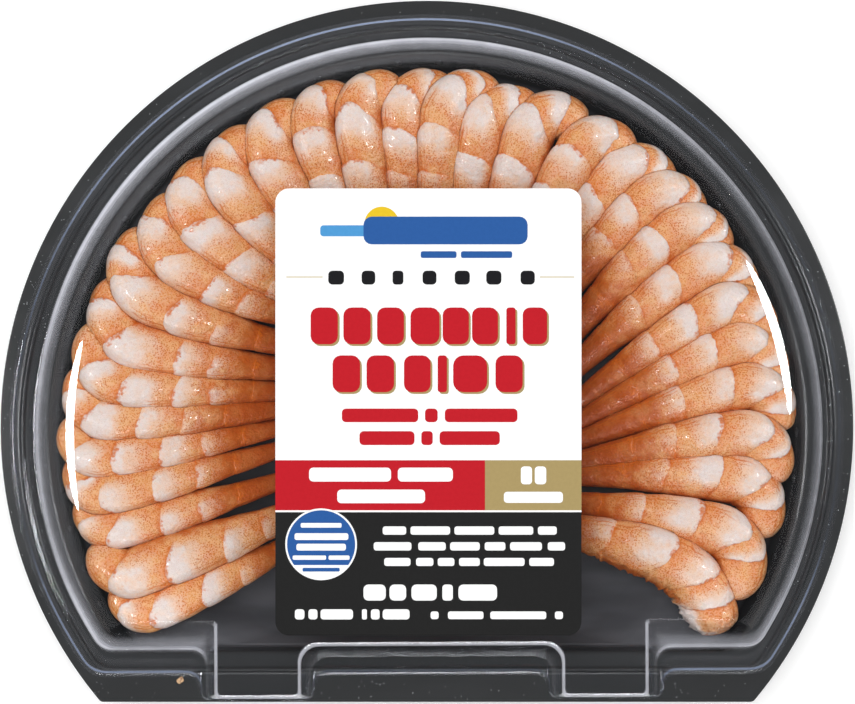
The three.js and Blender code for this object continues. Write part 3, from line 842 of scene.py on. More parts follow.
@dataclass
class Lid:
    """The clear lid: rim with a bead, domed wall and two tongues with a wall between them.

    It sits a little askew: middle_x and dome_x are how far its front and its dome stand to the right,
    turn how far it is turned and front_shift how far its front is drawn in. Fields that are pairs are the
    heights, or the places in plan, between which one finish or form passes into another.
    """

    sheet: float = 0.5
    middle_x: float = 1.1
    dome_x: float = 0.9
    turn: float = math.radians(0.3)
    front_shift: float = 0.5
    arc_steps: int = 96
    corner_steps: int = 12
    bend_steps: int = 7
    front_fillet: float = 1.3
    # The lid's milky white is partly haze and partly painted reflection, painted brighter from the back left
    # and dimmer on the right wall.
    front_haze_and_glare: float = 0.12
    brightest_haze_angle: float = math.radians(105)
    dimmest_haze_share: float = 0.43
    faintest_bead: float = 0.35
    block_glare: float = 0.8
    edge_glare: float = 0.36
    rim_gloss: float = 0.2
    wall_gloss: float = 0.12
    right_dimming: float = 0.65
    block_gloss: float = 0.12
    block_bead: float = 0.3
    tongue_gloss: float = 0.5
    even_rim: float = 0.6
    rim_lean: float = 0.55
    rounding_steps: int = 9
    edge_rises: Span = (40.5, 41.0)
    edge_falls: Span = (41.95, 41.7)
    tongue_clears: Span = (38.0, 40.0)
    dome_begins: Span = (130.0, 128.5)
    drawn_in: Span = (-70.0, -95.0)
    back_begins: Span = (0.3, 0.95)
    front_begins: Span = (-60.0, -92.0)
    block_ends: Span = (32.0, 28.5)
    right_begins: Span = (-20.0, 60.0)
    wall_begins: Span = (28.5, 31.0)
    top_edge_begins: Span = (40.45, 40.95)
    front_dulls: Span = (-70.0, -88.0)

    def profile(self) -> list[LidLevel]:
        """Every level of the lid, with its corners rounded and its front edges filleted.

        Returns:
            The levels from the rim's foot to the top.
        """
        rows = [np.array(list(vars(level).values()), dtype=float) for level in LID_LEVELS]
        roundings = [level.rounding for level in LID_LEVELS]
        smooth = [LidLevel(*row) for row in rounded(rows, roundings, self.rounding_steps)]
        return [self.filleted(level) for level in smooth[:-1]]

    def filleted(self, level: LidLevel) -> LidLevel:
        """Draw the front walls in near the top, so that they meet it in a quarter circle.

        Args:
            level: the level as it was.

        Returns:
            The level with its walls drawn in.
        """
        fillet = self.front_fillet
        rise = min(max(level.z - (LID_TOP - fillet), 0.0), fillet)
        inset = fillet - math.sqrt(fillet ** 2 - rise ** 2)
        return replace(level, side=level.side + inset, recess=level.recess + inset,
                       inner=level.inner + inset, outer=level.outer - inset, tip=level.tip + inset)

    def outline(self, level: LidLevel) -> list[tuple[float, float, float, float]]:
        """Points round one level from the middle of its recess, anticlockwise seen from above.

        Args:
            level: the level's sizes.

        Returns:
            The X and Y of each point, its haze and its gloss.
        """
        front = BOWL_CENTRE_Y - level.side
        corner_x = math.sqrt((level.radius - level.corner) ** 2 - (front - level.corner) ** 2)
        meeting = math.atan2(level.corner - front, corner_x)
        quarter, steps, bend = math.pi / 2, self.bend_steps, level.bend
        half = arc((level.inner - level.inner_cove, level.recess - level.inner_cove), level.inner_cove,
                   quarter, 0, steps)
        half.append((level.inner, level.recess - level.inner_cove))
        half += arc((level.inner + bend, level.tip + bend), bend, 2 * quarter, 3 * quarter, steps)
        half.append((level.inner + bend, level.tip))
        half += arc((level.outer - bend, level.tip + bend), bend, 3 * quarter, 4 * quarter, steps)
        half.append((level.outer, level.tip + bend))
        side_from = len(half)
        half += arc((level.outer + level.outer_cove, level.side - level.outer_cove), level.outer_cove,
                    2 * quarter, quarter, steps)
        half.append((level.outer + level.outer_cove, level.side))
        # Painted highlight: milky white along the top edge of the front walls.
        edge = smoothstep(*self.edge_rises, level.z) * smoothstep(*self.edge_falls, level.z)
        shine = self.tongue_gloss + (1 - self.tongue_gloss) * smoothstep(*self.tongue_clears, level.z)
        tongue = (self.front_haze_and_glare * level.haze_and_glare + self.edge_glare * edge, float(shine))
        block = self.finish_at(level, 0.0, level.side)
        finishes = [tongue] * side_from
        finishes += [tuple(a + (b - a) * k / steps for a, b in zip(tongue, block)) for k in range(steps + 1)]
        dome = arc((corner_x, level.side + level.corner), level.corner, -quarter, meeting,
                   self.corner_steps)
        dome += arc((0, BOWL_CENTRE_Y), level.radius, meeting, quarter, self.arc_steps)
        points = [(x + self.middle_x, y, *f) for (x, y), f in zip(half, finishes)]
        shift = float(self.dome_x * smoothstep(*self.dome_begins, level.radius))
        rearmost = BOWL_CENTRE_Y + level.radius
        points += [(x + shift, y, *self.finish_at(level, x, y)) for x, y in dome]
        points.append((shift, rearmost, *self.finish_at(level, 0.0, rearmost)))
        points += [(shift - x, y, *self.finish_at(level, -x, y)) for x, y in reversed(dome)]
        points += [(self.middle_x - x, y, *f) for (x, y), f in zip(half[::-1], finishes[::-1])]
        return [(*self.settled(x, y), *finish) for x, y, *finish in points]

    def settled(self, x: float, y: float) -> tuple[float, float]:
        """Turn a point as the lid sits on the tray, a little askew, with its front drawn in.

        Args:
            x: the point's place from left to right on a lid that sits straight.
            y: its place from front to back.

        Returns:
            Its X and Y on the lid as it sits.
        """
        y += self.front_shift * float(smoothstep(*self.drawn_in, y))
        cos, sin = math.cos(self.turn), math.sin(self.turn)
        back = y - BOWL_CENTRE_Y
        return x * cos - back * sin, BOWL_CENTRE_Y + x * sin + back * cos

    def finish_at(self, level: LidLevel, x: float, y: float) -> tuple[float, float]:
        """How milky and how glossy the dome is at a point of one level.

        Its milky white, partly haze and partly painted reflection, is painted brightest towards the back
        left, as if lit from there, and is dimmed on the right wall as painted shade; low on the side blocks
        it is a painted highlight. Its wall mirrors less than the edge of its top, and its straight front
        walls hardly at all.

        Args:
            level: the level.
            x: the point's place from left to right.
            y: its place from front to back.

        Returns:
            The haze and the gloss.
        """
        # Painted light: the milky white is brightest towards the back left and dimmed on the right wall.
        towards = math.cos(math.atan2(y - BOWL_CENTRE_Y, x) - self.brightest_haze_angle)
        back = smoothstep(*self.back_begins, towards)
        front = smoothstep(*self.front_begins, y)
        shares = self.dimmest_haze_share + (1 - self.dimmest_haze_share) * back
        # The bead's painted highlight fades away from the back left.
        shares *= 1 - level.bead * (1 - max(towards, self.faintest_bead) ** 2)
        # Painted highlight: a milky band low on the side blocks' front walls.
        block = self.block_glare * smoothstep(*self.block_ends, level.z) * (1 - self.block_bead * level.bead)
        right = self.right_dimming * smoothstep(*self.right_begins, x)
        wall = smoothstep(*self.wall_begins, level.z)
        shares *= 1 - right * wall
        gloss = self.rim_gloss * (self.even_rim - self.rim_lean * x / level.radius)
        gloss += (self.wall_gloss * (1 - right) - gloss) * wall
        gloss += (1 - gloss) * smoothstep(*self.top_edge_begins, level.z)
        gloss += (self.block_gloss - gloss) * smoothstep(*self.front_dulls, y)
        return float(level.haze_and_glare * (shares + (block - shares) * front)), float(gloss)

    def build(self) -> None:
        """Make the lid as a thin clear shell."""
        levels = self.profile()
        outlines = [self.outline(level) for level in levels]
        rings = [[Vector((x, y, level.z)) for x, y, *_ in ring] for level, ring in zip(levels, outlines)]
        hazes_and_glare = [[point[2] for point in ring] for ring in outlines]
        glosses = [[point[3] for point in ring] for ring in outlines]
        beads = [[level.bead] * len(ring) for level, ring in zip(levels, outlines)]
        bm = loft(rings, False, True, {"haze_and_glare": hazes_and_glare, "gloss": glosses, "bead": beads})
        piece = to_piece(to_mesh(bm, "lid_shell", 50.0), [ClearPlastic().material()], ["lid"])
        shell = piece.modifiers.new("sheet", "SOLIDIFY")
        shell.thickness = self.sheet * MM
        shell.offset = -1.0
        shell.use_even_offset = False


# ------------------------------------------------------------------------------------- label


class Tone(Enum):
    """The label's printed tones."""

    WHITE = srgb(250, 250, 250)
    RED = srgb(188, 29, 40)
    TAN = srgb(167, 147, 99)
    BLACK = srgb(34, 34, 34)
    BLUE = srgb(44, 90, 156)
    SKY = srgb(78, 150, 206)
    YELLOW = srgb(226, 190, 40)
    CREAM = srgb(221, 214, 197)
    INK = srgb(28, 28, 31)


@dataclass(frozen=True)
class PrintLine:
    """A line of print as a row of bars: its front and back edges, its tone and each bar's two ends."""

    front: float
    back: float
    tone: Tone
    spans: tuple[tuple[float, float], ...]
    layer: int = 0

    def moved(self, right: float, back: float, tone: Tone, layer: int) -> "PrintLine":
        """The same line in another tone and layer, further to the right and back."""
        spans = tuple((start + right, end + right) for start, end in self.spans)
        return PrintLine(self.front + back, self.back + back, tone, spans, layer)


HEADINGS = (
    PrintLine(2.3, 14.2, Tone.RED, ((-37.6, -28.8), (-27.0, -18.2), (-16.1, -7.4), (-5.3, 4.1),
                                    (5.1, 13.6), (14.6, 23.0), (25.7, 28.7), (31.0, 38.9)), 1),
    PrintLine(-13.2, -1.3, Tone.RED, ((-30.5, -21.6), (-19.5, -10.6), (-7.4, 1.2), (3.5, 6.5),
                                      (8.5, 19.5), (22.2, 31.0)), 1),
)
SMALL_PRINT = (
    PrintLine(34.6, 43.6, Tone.BLUE, ((-20.5, 32.6),), 1),
    PrintLine(37.2, 40.8, Tone.SKY, ((-34.5, -18.4),)),
    PrintLine(30.2, 32.4, Tone.BLUE, ((-2.0, 9.6), (11.0, 27.6))),
    PrintLine(23.7, 24.4, Tone.CREAM, ((-45.5, -33.7), (36.5, 47.7))),
    PrintLine(21.6, 26.1, Tone.INK, ((-31.9, -26.8), (-21.1, -16.7), (-11.1, -7.6), (-1.4, 3.1),
                                     (9.0, 13.9), (19.2, 24.1), (30.3, 34.9))),
    PrintLine(-22.9, -18.5, Tone.RED, ((-27.5, -2.8), (-0.6, 3.5), (5.8, 29.3))),
    PrintLine(-30.3, -25.8, Tone.RED, ((-21.8, -4.0), (-1.8, 1.9), (4.1, 23.6))),
    PrintLine(-42.1, -37.6, Tone.WHITE, ((-38.1, -11.6), (-9.4, 8.4))),
    PrintLine(-49.1, -44.7, Tone.WHITE, ((-29.0, -0.6),)),
    PrintLine(-43.0, -37.2, Tone.WHITE, ((30.4, 34.0), (34.9, 38.6))),
    PrintLine(-49.0, -45.4, Tone.WHITE, ((24.9, 44.0),)),
    PrintLine(-59.3, -56.6, Tone.WHITE, ((-14.3, -6.7), (-5.3, 7.5), (8.9, 21.8), (23.2, 34.4),
                                         (35.9, 42.0))),
    PrintLine(-64.4, -61.7, Tone.WHITE, ((-17.2, -5.0), (-2.8, 6.1), (7.5, 17.1), (18.7, 25.4),
                                         (26.9, 37.2), (39.1, 44.7))),
    PrintLine(-69.4, -66.8, Tone.WHITE, ((-13.8, -5.3), (-3.5, 2.1), (3.5, 8.9), (10.4, 17.1),
                                         (18.4, 31.6), (33.1, 41.1))),
    PrintLine(-80.6, -75.4, Tone.WHITE, ((-20.5, -13.3), (-12.1, -6.7), (-5.0, 3.2), (5.0, 8.4),
                                         (10.2, 22.7))),
    PrintLine(-86.7, -83.4, Tone.WHITE, ((-42.7, -39.6), (-38.3, -35.4), (-34.4, -23.9), (-21.0, -19.4),
                                         (-18.1, -15.3), (-14.3, -5.6))),
    PrintLine(-86.6, -84.1, Tone.WHITE, ((1.2, 3.8), (6.8, 18.3), (20.5, 38.6), (41.4, 44.0))),
)
BADGE_PRINT = (  # measured from the badge's middle
    PrintLine(5.4, 6.9, Tone.WHITE, ((-6.6, 6.6),), 2),
    PrintLine(1.4, 3.6, Tone.WHITE, ((-8.6, 8.8),), 2),
    PrintLine(-2.0, 0.2, Tone.WHITE, ((-8.0, 8.0),), 2),
    PrintLine(-5.0, -3.6, Tone.WHITE, ((-9.2, 1.6), (2.4, 9.2)), 2),
    PrintLine(-8.8, -7.6, Tone.BLUE, ((-6.0, 6.0),), 2),
)


@dataclass
class Label:
    """The printed label on the lid's flat top, as plain fields with bars in place of lettering.

    badge and dot are round spots, each given by its middle and radius. The badge's blue is badge_blue of
    its radius and ends badge_front in front of its middle.
    """

    left: float = -49.0
    right: float = 50.0
    front: float = -91.9
    back: float = 52.7
    corner: float = 4.5
    base_z: float = LID_TOP + 0.03
    thickness: float = 0.2
    ink: float = 0.05
    white_ends: float = -35.2
    red_ends: float = -51.4
    rule_ends: float = -52.0
    tan_starts: float = 18.8
    badge: tuple[float, float, float] = (-34.2, -62.4, 11.6)
    badge_blue: float = 0.95
    badge_front: float = 6.7
    dot: tuple[float, float, float] = (-14.6, 41.2, 5.6)
    shadow: float = 0.6
    bar_rounding: float = 0.3
    first_ink: float = 0.4
    next_ink: float = 0.5

    def sheet(self) -> bpy.types.Mesh:
        """The label's paper, split into its printed fields.

        Returns:
            Its mesh.
        """
        bm = bmesh.new()
        bmesh.ops.create_grid(bm, x_segments=1, y_segments=1, size=0.5)
        bmesh.ops.scale(bm, vec=Vector((self.right - self.left, self.back - self.front, 1)), verts=bm.verts)
        middle = Vector(((self.left + self.right) / 2, (self.front + self.back) / 2, self.base_z))
        bmesh.ops.translate(bm, vec=middle, verts=bm.verts)
        bmesh.ops.bevel(bm, geom=bm.verts[:], offset=self.corner, segments=10, profile=0.5, material=-1,
                        affect="VERTICES")
        cuts = [((0, y, 0), (0, 1, 0)) for y in (self.white_ends, self.red_ends, self.rule_ends)]
        for place, normal in cuts + [((self.tan_starts, 0, 0), (1, 0, 0))]:
            geom = bm.verts[:] + bm.edges[:] + bm.faces[:]
            bmesh.ops.bisect_plane(bm, geom=geom, plane_co=place, plane_no=normal)
        for face in bm.faces:
            face.material_index = list(Tone).index(self.field_at(face.calc_center_median()))
        drawn = bmesh.ops.extrude_face_region(bm, geom=bm.faces[:])["geom"]
        top = [item for item in drawn if isinstance(item, bmesh.types.BMVert)]
        bmesh.ops.translate(bm, vec=Vector((0, 0, self.thickness)), verts=top)
        bmesh.ops.recalc_face_normals(bm, faces=bm.faces)
        return to_mesh(bm, "printed_label", 30.0)

    def field_at(self, place: Vector) -> Tone:
        """The tone of the field that a point lies in.

        Args:
            place: the point.

        Returns:
            The tone.
        """
        if place.y > self.white_ends:
            return Tone.WHITE
        if place.y > self.red_ends:
            return Tone.TAN if place.x > self.tan_starts else Tone.RED
        return Tone.WHITE if place.y > self.rule_ends else Tone.BLACK

    def ink_mesh(self) -> bpy.types.Mesh:
        """The bars and the round badge, printed a hair above the paper.

        Returns:
            Their mesh.
        """
        bm = bmesh.new()
        x, y, radius = self.badge
        shadows = [line.moved(self.shadow, -self.shadow, Tone.TAN, 0) for line in HEADINGS]
        badge_lines = [line.moved(x, y, line.tone, line.layer) for line in BADGE_PRINT]
        for line in (*shadows, *HEADINGS, *SMALL_PRINT, *badge_lines):
            for left, right in line.spans:
                self.add_bar(bm, line, left, right)
        self.add_disc(bm, self.dot, Tone.YELLOW, 0)
        self.add_disc(bm, (x, y, radius), Tone.WHITE, 0)
        self.add_disc(bm, (x, y, radius * self.badge_blue), Tone.BLUE, 1, y - self.badge_front)
        return to_mesh(bm, "label_print")

    def ink_height(self, layer: int) -> float:
        """Height of a layer of ink above others."""
        return self.base_z + self.thickness + self.ink * (self.first_ink + self.next_ink * layer)

    def add_disc(self, bm: bmesh.types.BMesh, disc: tuple[float, float, float], tone: Tone, layer: int,
                 front: float | None = None) -> None:
        """Add a round spot of print.

        Args:
            bm: the bmesh that takes it.
            disc: its middle and radius.
            tone: its tone.
            layer: how many inks already lie under it.
            front: where a straight line cuts its front off, if one does.
        """
        x, y, radius = disc
        verts = bmesh.ops.create_circle(bm, cap_ends=True, segments=64, radius=radius)["verts"]
        bmesh.ops.translate(bm, vec=Vector((x, y, self.ink_height(layer))), verts=verts)
        face = verts[0].link_faces[0]
        face.material_index = list(Tone).index(tone)
        if front is not None:
            bmesh.ops.bisect_plane(bm, geom=[*verts, *face.edges, face], plane_co=(0, front, 0),
                                   plane_no=(0, -1, 0), clear_outer=True)

    def add_bar(self, bm: bmesh.types.BMesh, line: PrintLine, left: float, right: float) -> None:
        """Add one bar of a line of print, with rounded corners.

        Args:
            bm: the bmesh that takes it.
            line: the line that it belongs to.
            left: its left end.
            right: its right end.
        """
        width, height = right - left, line.back - line.front
        verts = bmesh.ops.create_grid(bm, x_segments=1, y_segments=1, size=0.5)["verts"]
        bmesh.ops.scale(bm, vec=Vector((width, height, 1)), verts=verts)
        middle = Vector(((left + right) / 2, (line.front + line.back) / 2, self.ink_height(line.layer)))
        bmesh.ops.translate(bm, vec=middle, verts=verts)
        verts[0].link_faces[0].material_index = list(Tone).index(line.tone)
        bmesh.ops.bevel(bm, geom=verts, offset=self.bar_rounding * min(width, height), segments=4,
                        profile=0.5, material=-1, affect="VERTICES")

    def build(self) -> None:
        """Make the label's sheet and its print."""
        papers = [PrintedPaper("print_" + tone.name.lower(), tone.value).material() for tone in Tone]
        to_piece(self.sheet(), papers, ["label"])
        to_piece(self.ink_mesh(), papers)


# ------------------------------------------------------------------------------------- shrimps


@dataclass(frozen=True)
class Place:
    """Where one shrimp lies in the fan. Angles are in degrees clockwise from the back.

    tip is where its outermost point lies and reach how far out that is. aim is the heading of its tail,
    sag how far the body then turns, size its scale, hook the length of its hooked end and turn how far
    that end turns. ends are the shares of the length where its last four rings but one end.
    """

    tip: float
    reach: float
    aim: float
    sag: float
    size: float
    hook: float
    ends: tuple[float, float, float, float]
    turn: float = 118.0

    @property
    def shows_cut_end(self) -> bool:
        """Whether it turns so little that its cut end and belly show."""
        return self.turn < 90


FAN = (
    Place(-120.4, 120.5, -118.5, 7, 0.85, 12, (0.492, 0.665, 0.87, 0.955)),
    Place(-112.7, 121.3, -114.4, 9, 1.05, 12, (0.39, 0.553, 0.757, 0.923)),
    Place(-104.6, 120.5, -110, 9, 0.84, 12, (0.52, 0.685, 0.88, 0.955)),
    Place(-98.2, 121.2, -108, 9, 0.86, 13, (0.495, 0.667, 0.863, 0.95)),
    Place(-91.6, 122.2, -103, 9, 0.9, 14, (0.45, 0.62, 0.797, 0.922)),
    Place(-84, 121, -97, 9, 0.95, 17, (0.547, 0.713, 0.877, 0.96)),
    Place(-76, 120, -91, 9, 0.95, 23, (0.435, 0.577, 0.758, 0.88)),
    Place(-68.6, 119, -88, 16, 1, 22, (0.49, 0.622, 0.837, 0.955)),
    Place(-59.6, 119.4, -84, 26, 1, 22, (0.51, 0.68, 0.87, 0.95)),
    Place(-51.2, 117.5, -82, 33, 1, 20, (0.508, 0.642, 0.808, 0.925)),
    Place(-43.2, 118.2, -78, 40, 1.08, 19, (0.473, 0.638, 0.813, 0.933)),
    Place(-34.4, 118.2, -63, 35, 1, 18, (0.51, 0.687, 0.857, 0.938)),
    Place(-25.6, 119, -48, 30, 1.05, 16, (0.49, 0.66, 0.83, 0.935)),
    Place(-17, 119, -30, 18, 0.92, 15, (0.49, 0.657, 0.838, 0.945)),
    Place(-8.6, 119, -15, 11, 1, 14, (0.52, 0.692, 0.873, 0.948)),
    Place(0, 118.2, -6, 9, 0.92, 16, (0.603, 0.767, 0.897, 0.96)),
    Place(8, 118.8, 0, 9, 0.98, 18, (0.6, 0.772, 0.915, 0.965)),
    Place(15.4, 116.6, 6, 9, 0.92, 18, (0.52, 0.693, 0.873, 0.957)),
    Place(23.6, 119.2, 11, 11, 1, 17, (0.54, 0.712, 0.875, 0.96)),
    Place(33, 119.2, 18, 18, 1, 15, (0.5, 0.667, 0.833, 0.947)),
    Place(41.2, 119.4, 23, 25, 0.95, 15, (0.55, 0.723, 0.92, 0.965)),
    Place(48.4, 119.6, 28, 26, 0.95, 16, (0.617, 0.772, 0.938, 0.975)),
    Place(55.8, 119.8, 32, 25, 0.95, 16, (0.622, 0.767, 0.933, 0.975)),
    Place(64, 120.6, 41, 21, 0.98, 16, (0.563, 0.733, 0.91, 0.965)),
    Place(72.2, 121, 49, 16, 0.95, 17, (0.543, 0.723, 0.883, 0.96)),
    Place(79.6, 121.2, 58, 11, 0.95, 19, (0.58, 0.747, 0.9, 0.965)),
    Place(87.2, 122, 66, 11, 0.95, 19, (0.583, 0.778, 0.912, 0.975)),
    Place(96, 121.6, 75, 11, 0.98, 19, (0.568, 0.735, 0.875, 0.942)),
    Place(104.8, 121.8, 85, 12, 0.98, 22, (0.532, 0.725, 0.858, 0.925)),
    Place(115.2, 122, 88, 25, 1.02, 24, (0.477, 0.682, 0.822, 0.887)),
    Place(124, 122, 92, 26, 1.1, 31, (0.51, 0.72, 0.862, 0.955), 56),
)


@dataclass
class ShrimpShape:
    """The rules that every shrimp's body follows.

    shares, depths and widths give the body's half sizes along its length. Tuples with one number for
    each tile run from the tail: rings, and from pale_starts on, where the patches, milk and deep orange
    lie. lumps and teeth are waves along the body, and ragged waves round it.
    """

    length: float = 86.0
    steps: int = 661
    longest: float = 1.1
    spokes: int = 72
    body_z: float = 19.4
    tail_z: float = 4.4
    lift: float = 0.8
    lift_phase: float = 2.4
    head_drop: float = 4.5
    hook_power: float = 1.3
    rises: Span = (-0.1, 0.75)
    rolls: Span = (0, 0.7)
    head_end: float = 1.05
    belly_narrows: Span = (0.12, 0.04)
    tightest_bend: float = 6.5
    belly_share: float = 0.95
    tail_roll: float = math.radians(50)
    head_roll: float = math.radians(33)
    first_ring: float = 0.17
    whole: float = 1.06
    lobes: tuple[float, ...] = (0.0, 0.012, 0.032, 0.055, 0.062, 0.045, 0.0)
    lobe_sizes: Span = (0.8, 1.15)
    lobe_turns: Span = (-0.35, 0.2)
    rings: tuple[int, ...] = (22, 17, 20, 22, 19, 22)
    shares: tuple[float, ...] = (0.0, 0.015, 0.17, 0.3375, 0.5275, 0.7275, 0.8825, 0.97, 1.045, 1.06)
    depths: tuple[float, ...] = (2.5, 2.9, 4.0, 5.2, 7.5, 9.1, 9.25, 9.0, 8.4, 8.2)
    widths: tuple[float, ...] = (2.0, 2.3, 3.3, 4.3, 5.9, 6.9, 6.9, 6.8, 6.5, 6.4)
    spread: float = 0.13
    crowding: float = 0.4
    facing: float = math.radians(34)
    cut_angle: float = math.radians(9)
    belly_angle: float = math.radians(110)
    tail_cap: float = 0.6
    head_cap: float = 0.3
    ragged: tuple[int, ...] = (2, 3, 5, 9, 14, 22, 31)
    raggedness: float = 0.0056
    fullness: float = 0.06
    mound: float = 0.022
    step_down: float = 0.03
    sunk: float = 0.055
    lumps: tuple[tuple[float, int], ...] = ((0.010, 9), (0.009, 17), (0.007, 31), (0.005, 53))
    teeth: tuple[int, ...] = (95, 160, 231, 330)
    tooth: float = 0.09
    belly_bits: float = 0.05
    end_bits: float = 0.07
    pale_starts: tuple[float, ...] = (1.1, 0.78, 0.6, 0.58, 0.6, 2.0)
    pale_widths: tuple[float, ...] = (0.5, 0.75, 1.0, 1.05, 0.9, 0.5)
    pale_strengths: tuple[float, ...] = (0.0, 0.75, 0.95, 1.0, 1.0, 0.0)
    milk: tuple[float, ...] = (0.0, 0.35, 0.8, 1.0, 0.95, 0.75)
    # Deep orange is the tail's own colour; towards the head's end it is partly painted shade where the body
    # curves down.
    deep_first: tuple[float, ...] = (1.0, 0.72, 0.12, 0.0, 0.0, 0.0)
    deep_last: tuple[float, ...] = (0.72, 0.25, 0.0, 0.0, 0.0, 0.25)
    deep_flanks_and_shade: float = 0.75

    def ring_count(self) -> int:
        """Rings between the two poles."""
        return sum(self.rings)

    def ring_tiles(self) -> tuple[np.ndarray, np.ndarray]:
        """For each ring, the tile that it is on and its share of the way along that tile.

        Returns:
            The tiles and the shares.
        """
        tiles, shares = [], []
        for tile, count in enumerate(self.rings):
            even = np.linspace(0.0, 1.0, count)
            tiles.append(np.full(count, tile))
            shares.append(even - self.spread * np.sin(2 * np.pi * even))
        return np.concatenate(tiles), np.concatenate(shares)

    def spoke_angles(self) -> np.ndarray:
        """Angles from the back, round over the upper side, closer together where they show."""
        even = 2 * np.pi * np.arange(self.spokes) / self.spokes
        return even - self.crowding * np.sin(even - self.facing)


def wave(angle: np.ndarray, counts: Sequence[int], random: np.random.Generator) -> np.ndarray:
    """A ragged line round the body, as a sum of waves that get smaller as they get shorter."""
    return sum(random.normal() * np.sin(count * angle + random.uniform(0, FULL_TURN)) / count ** 0.8
               for count in counts)


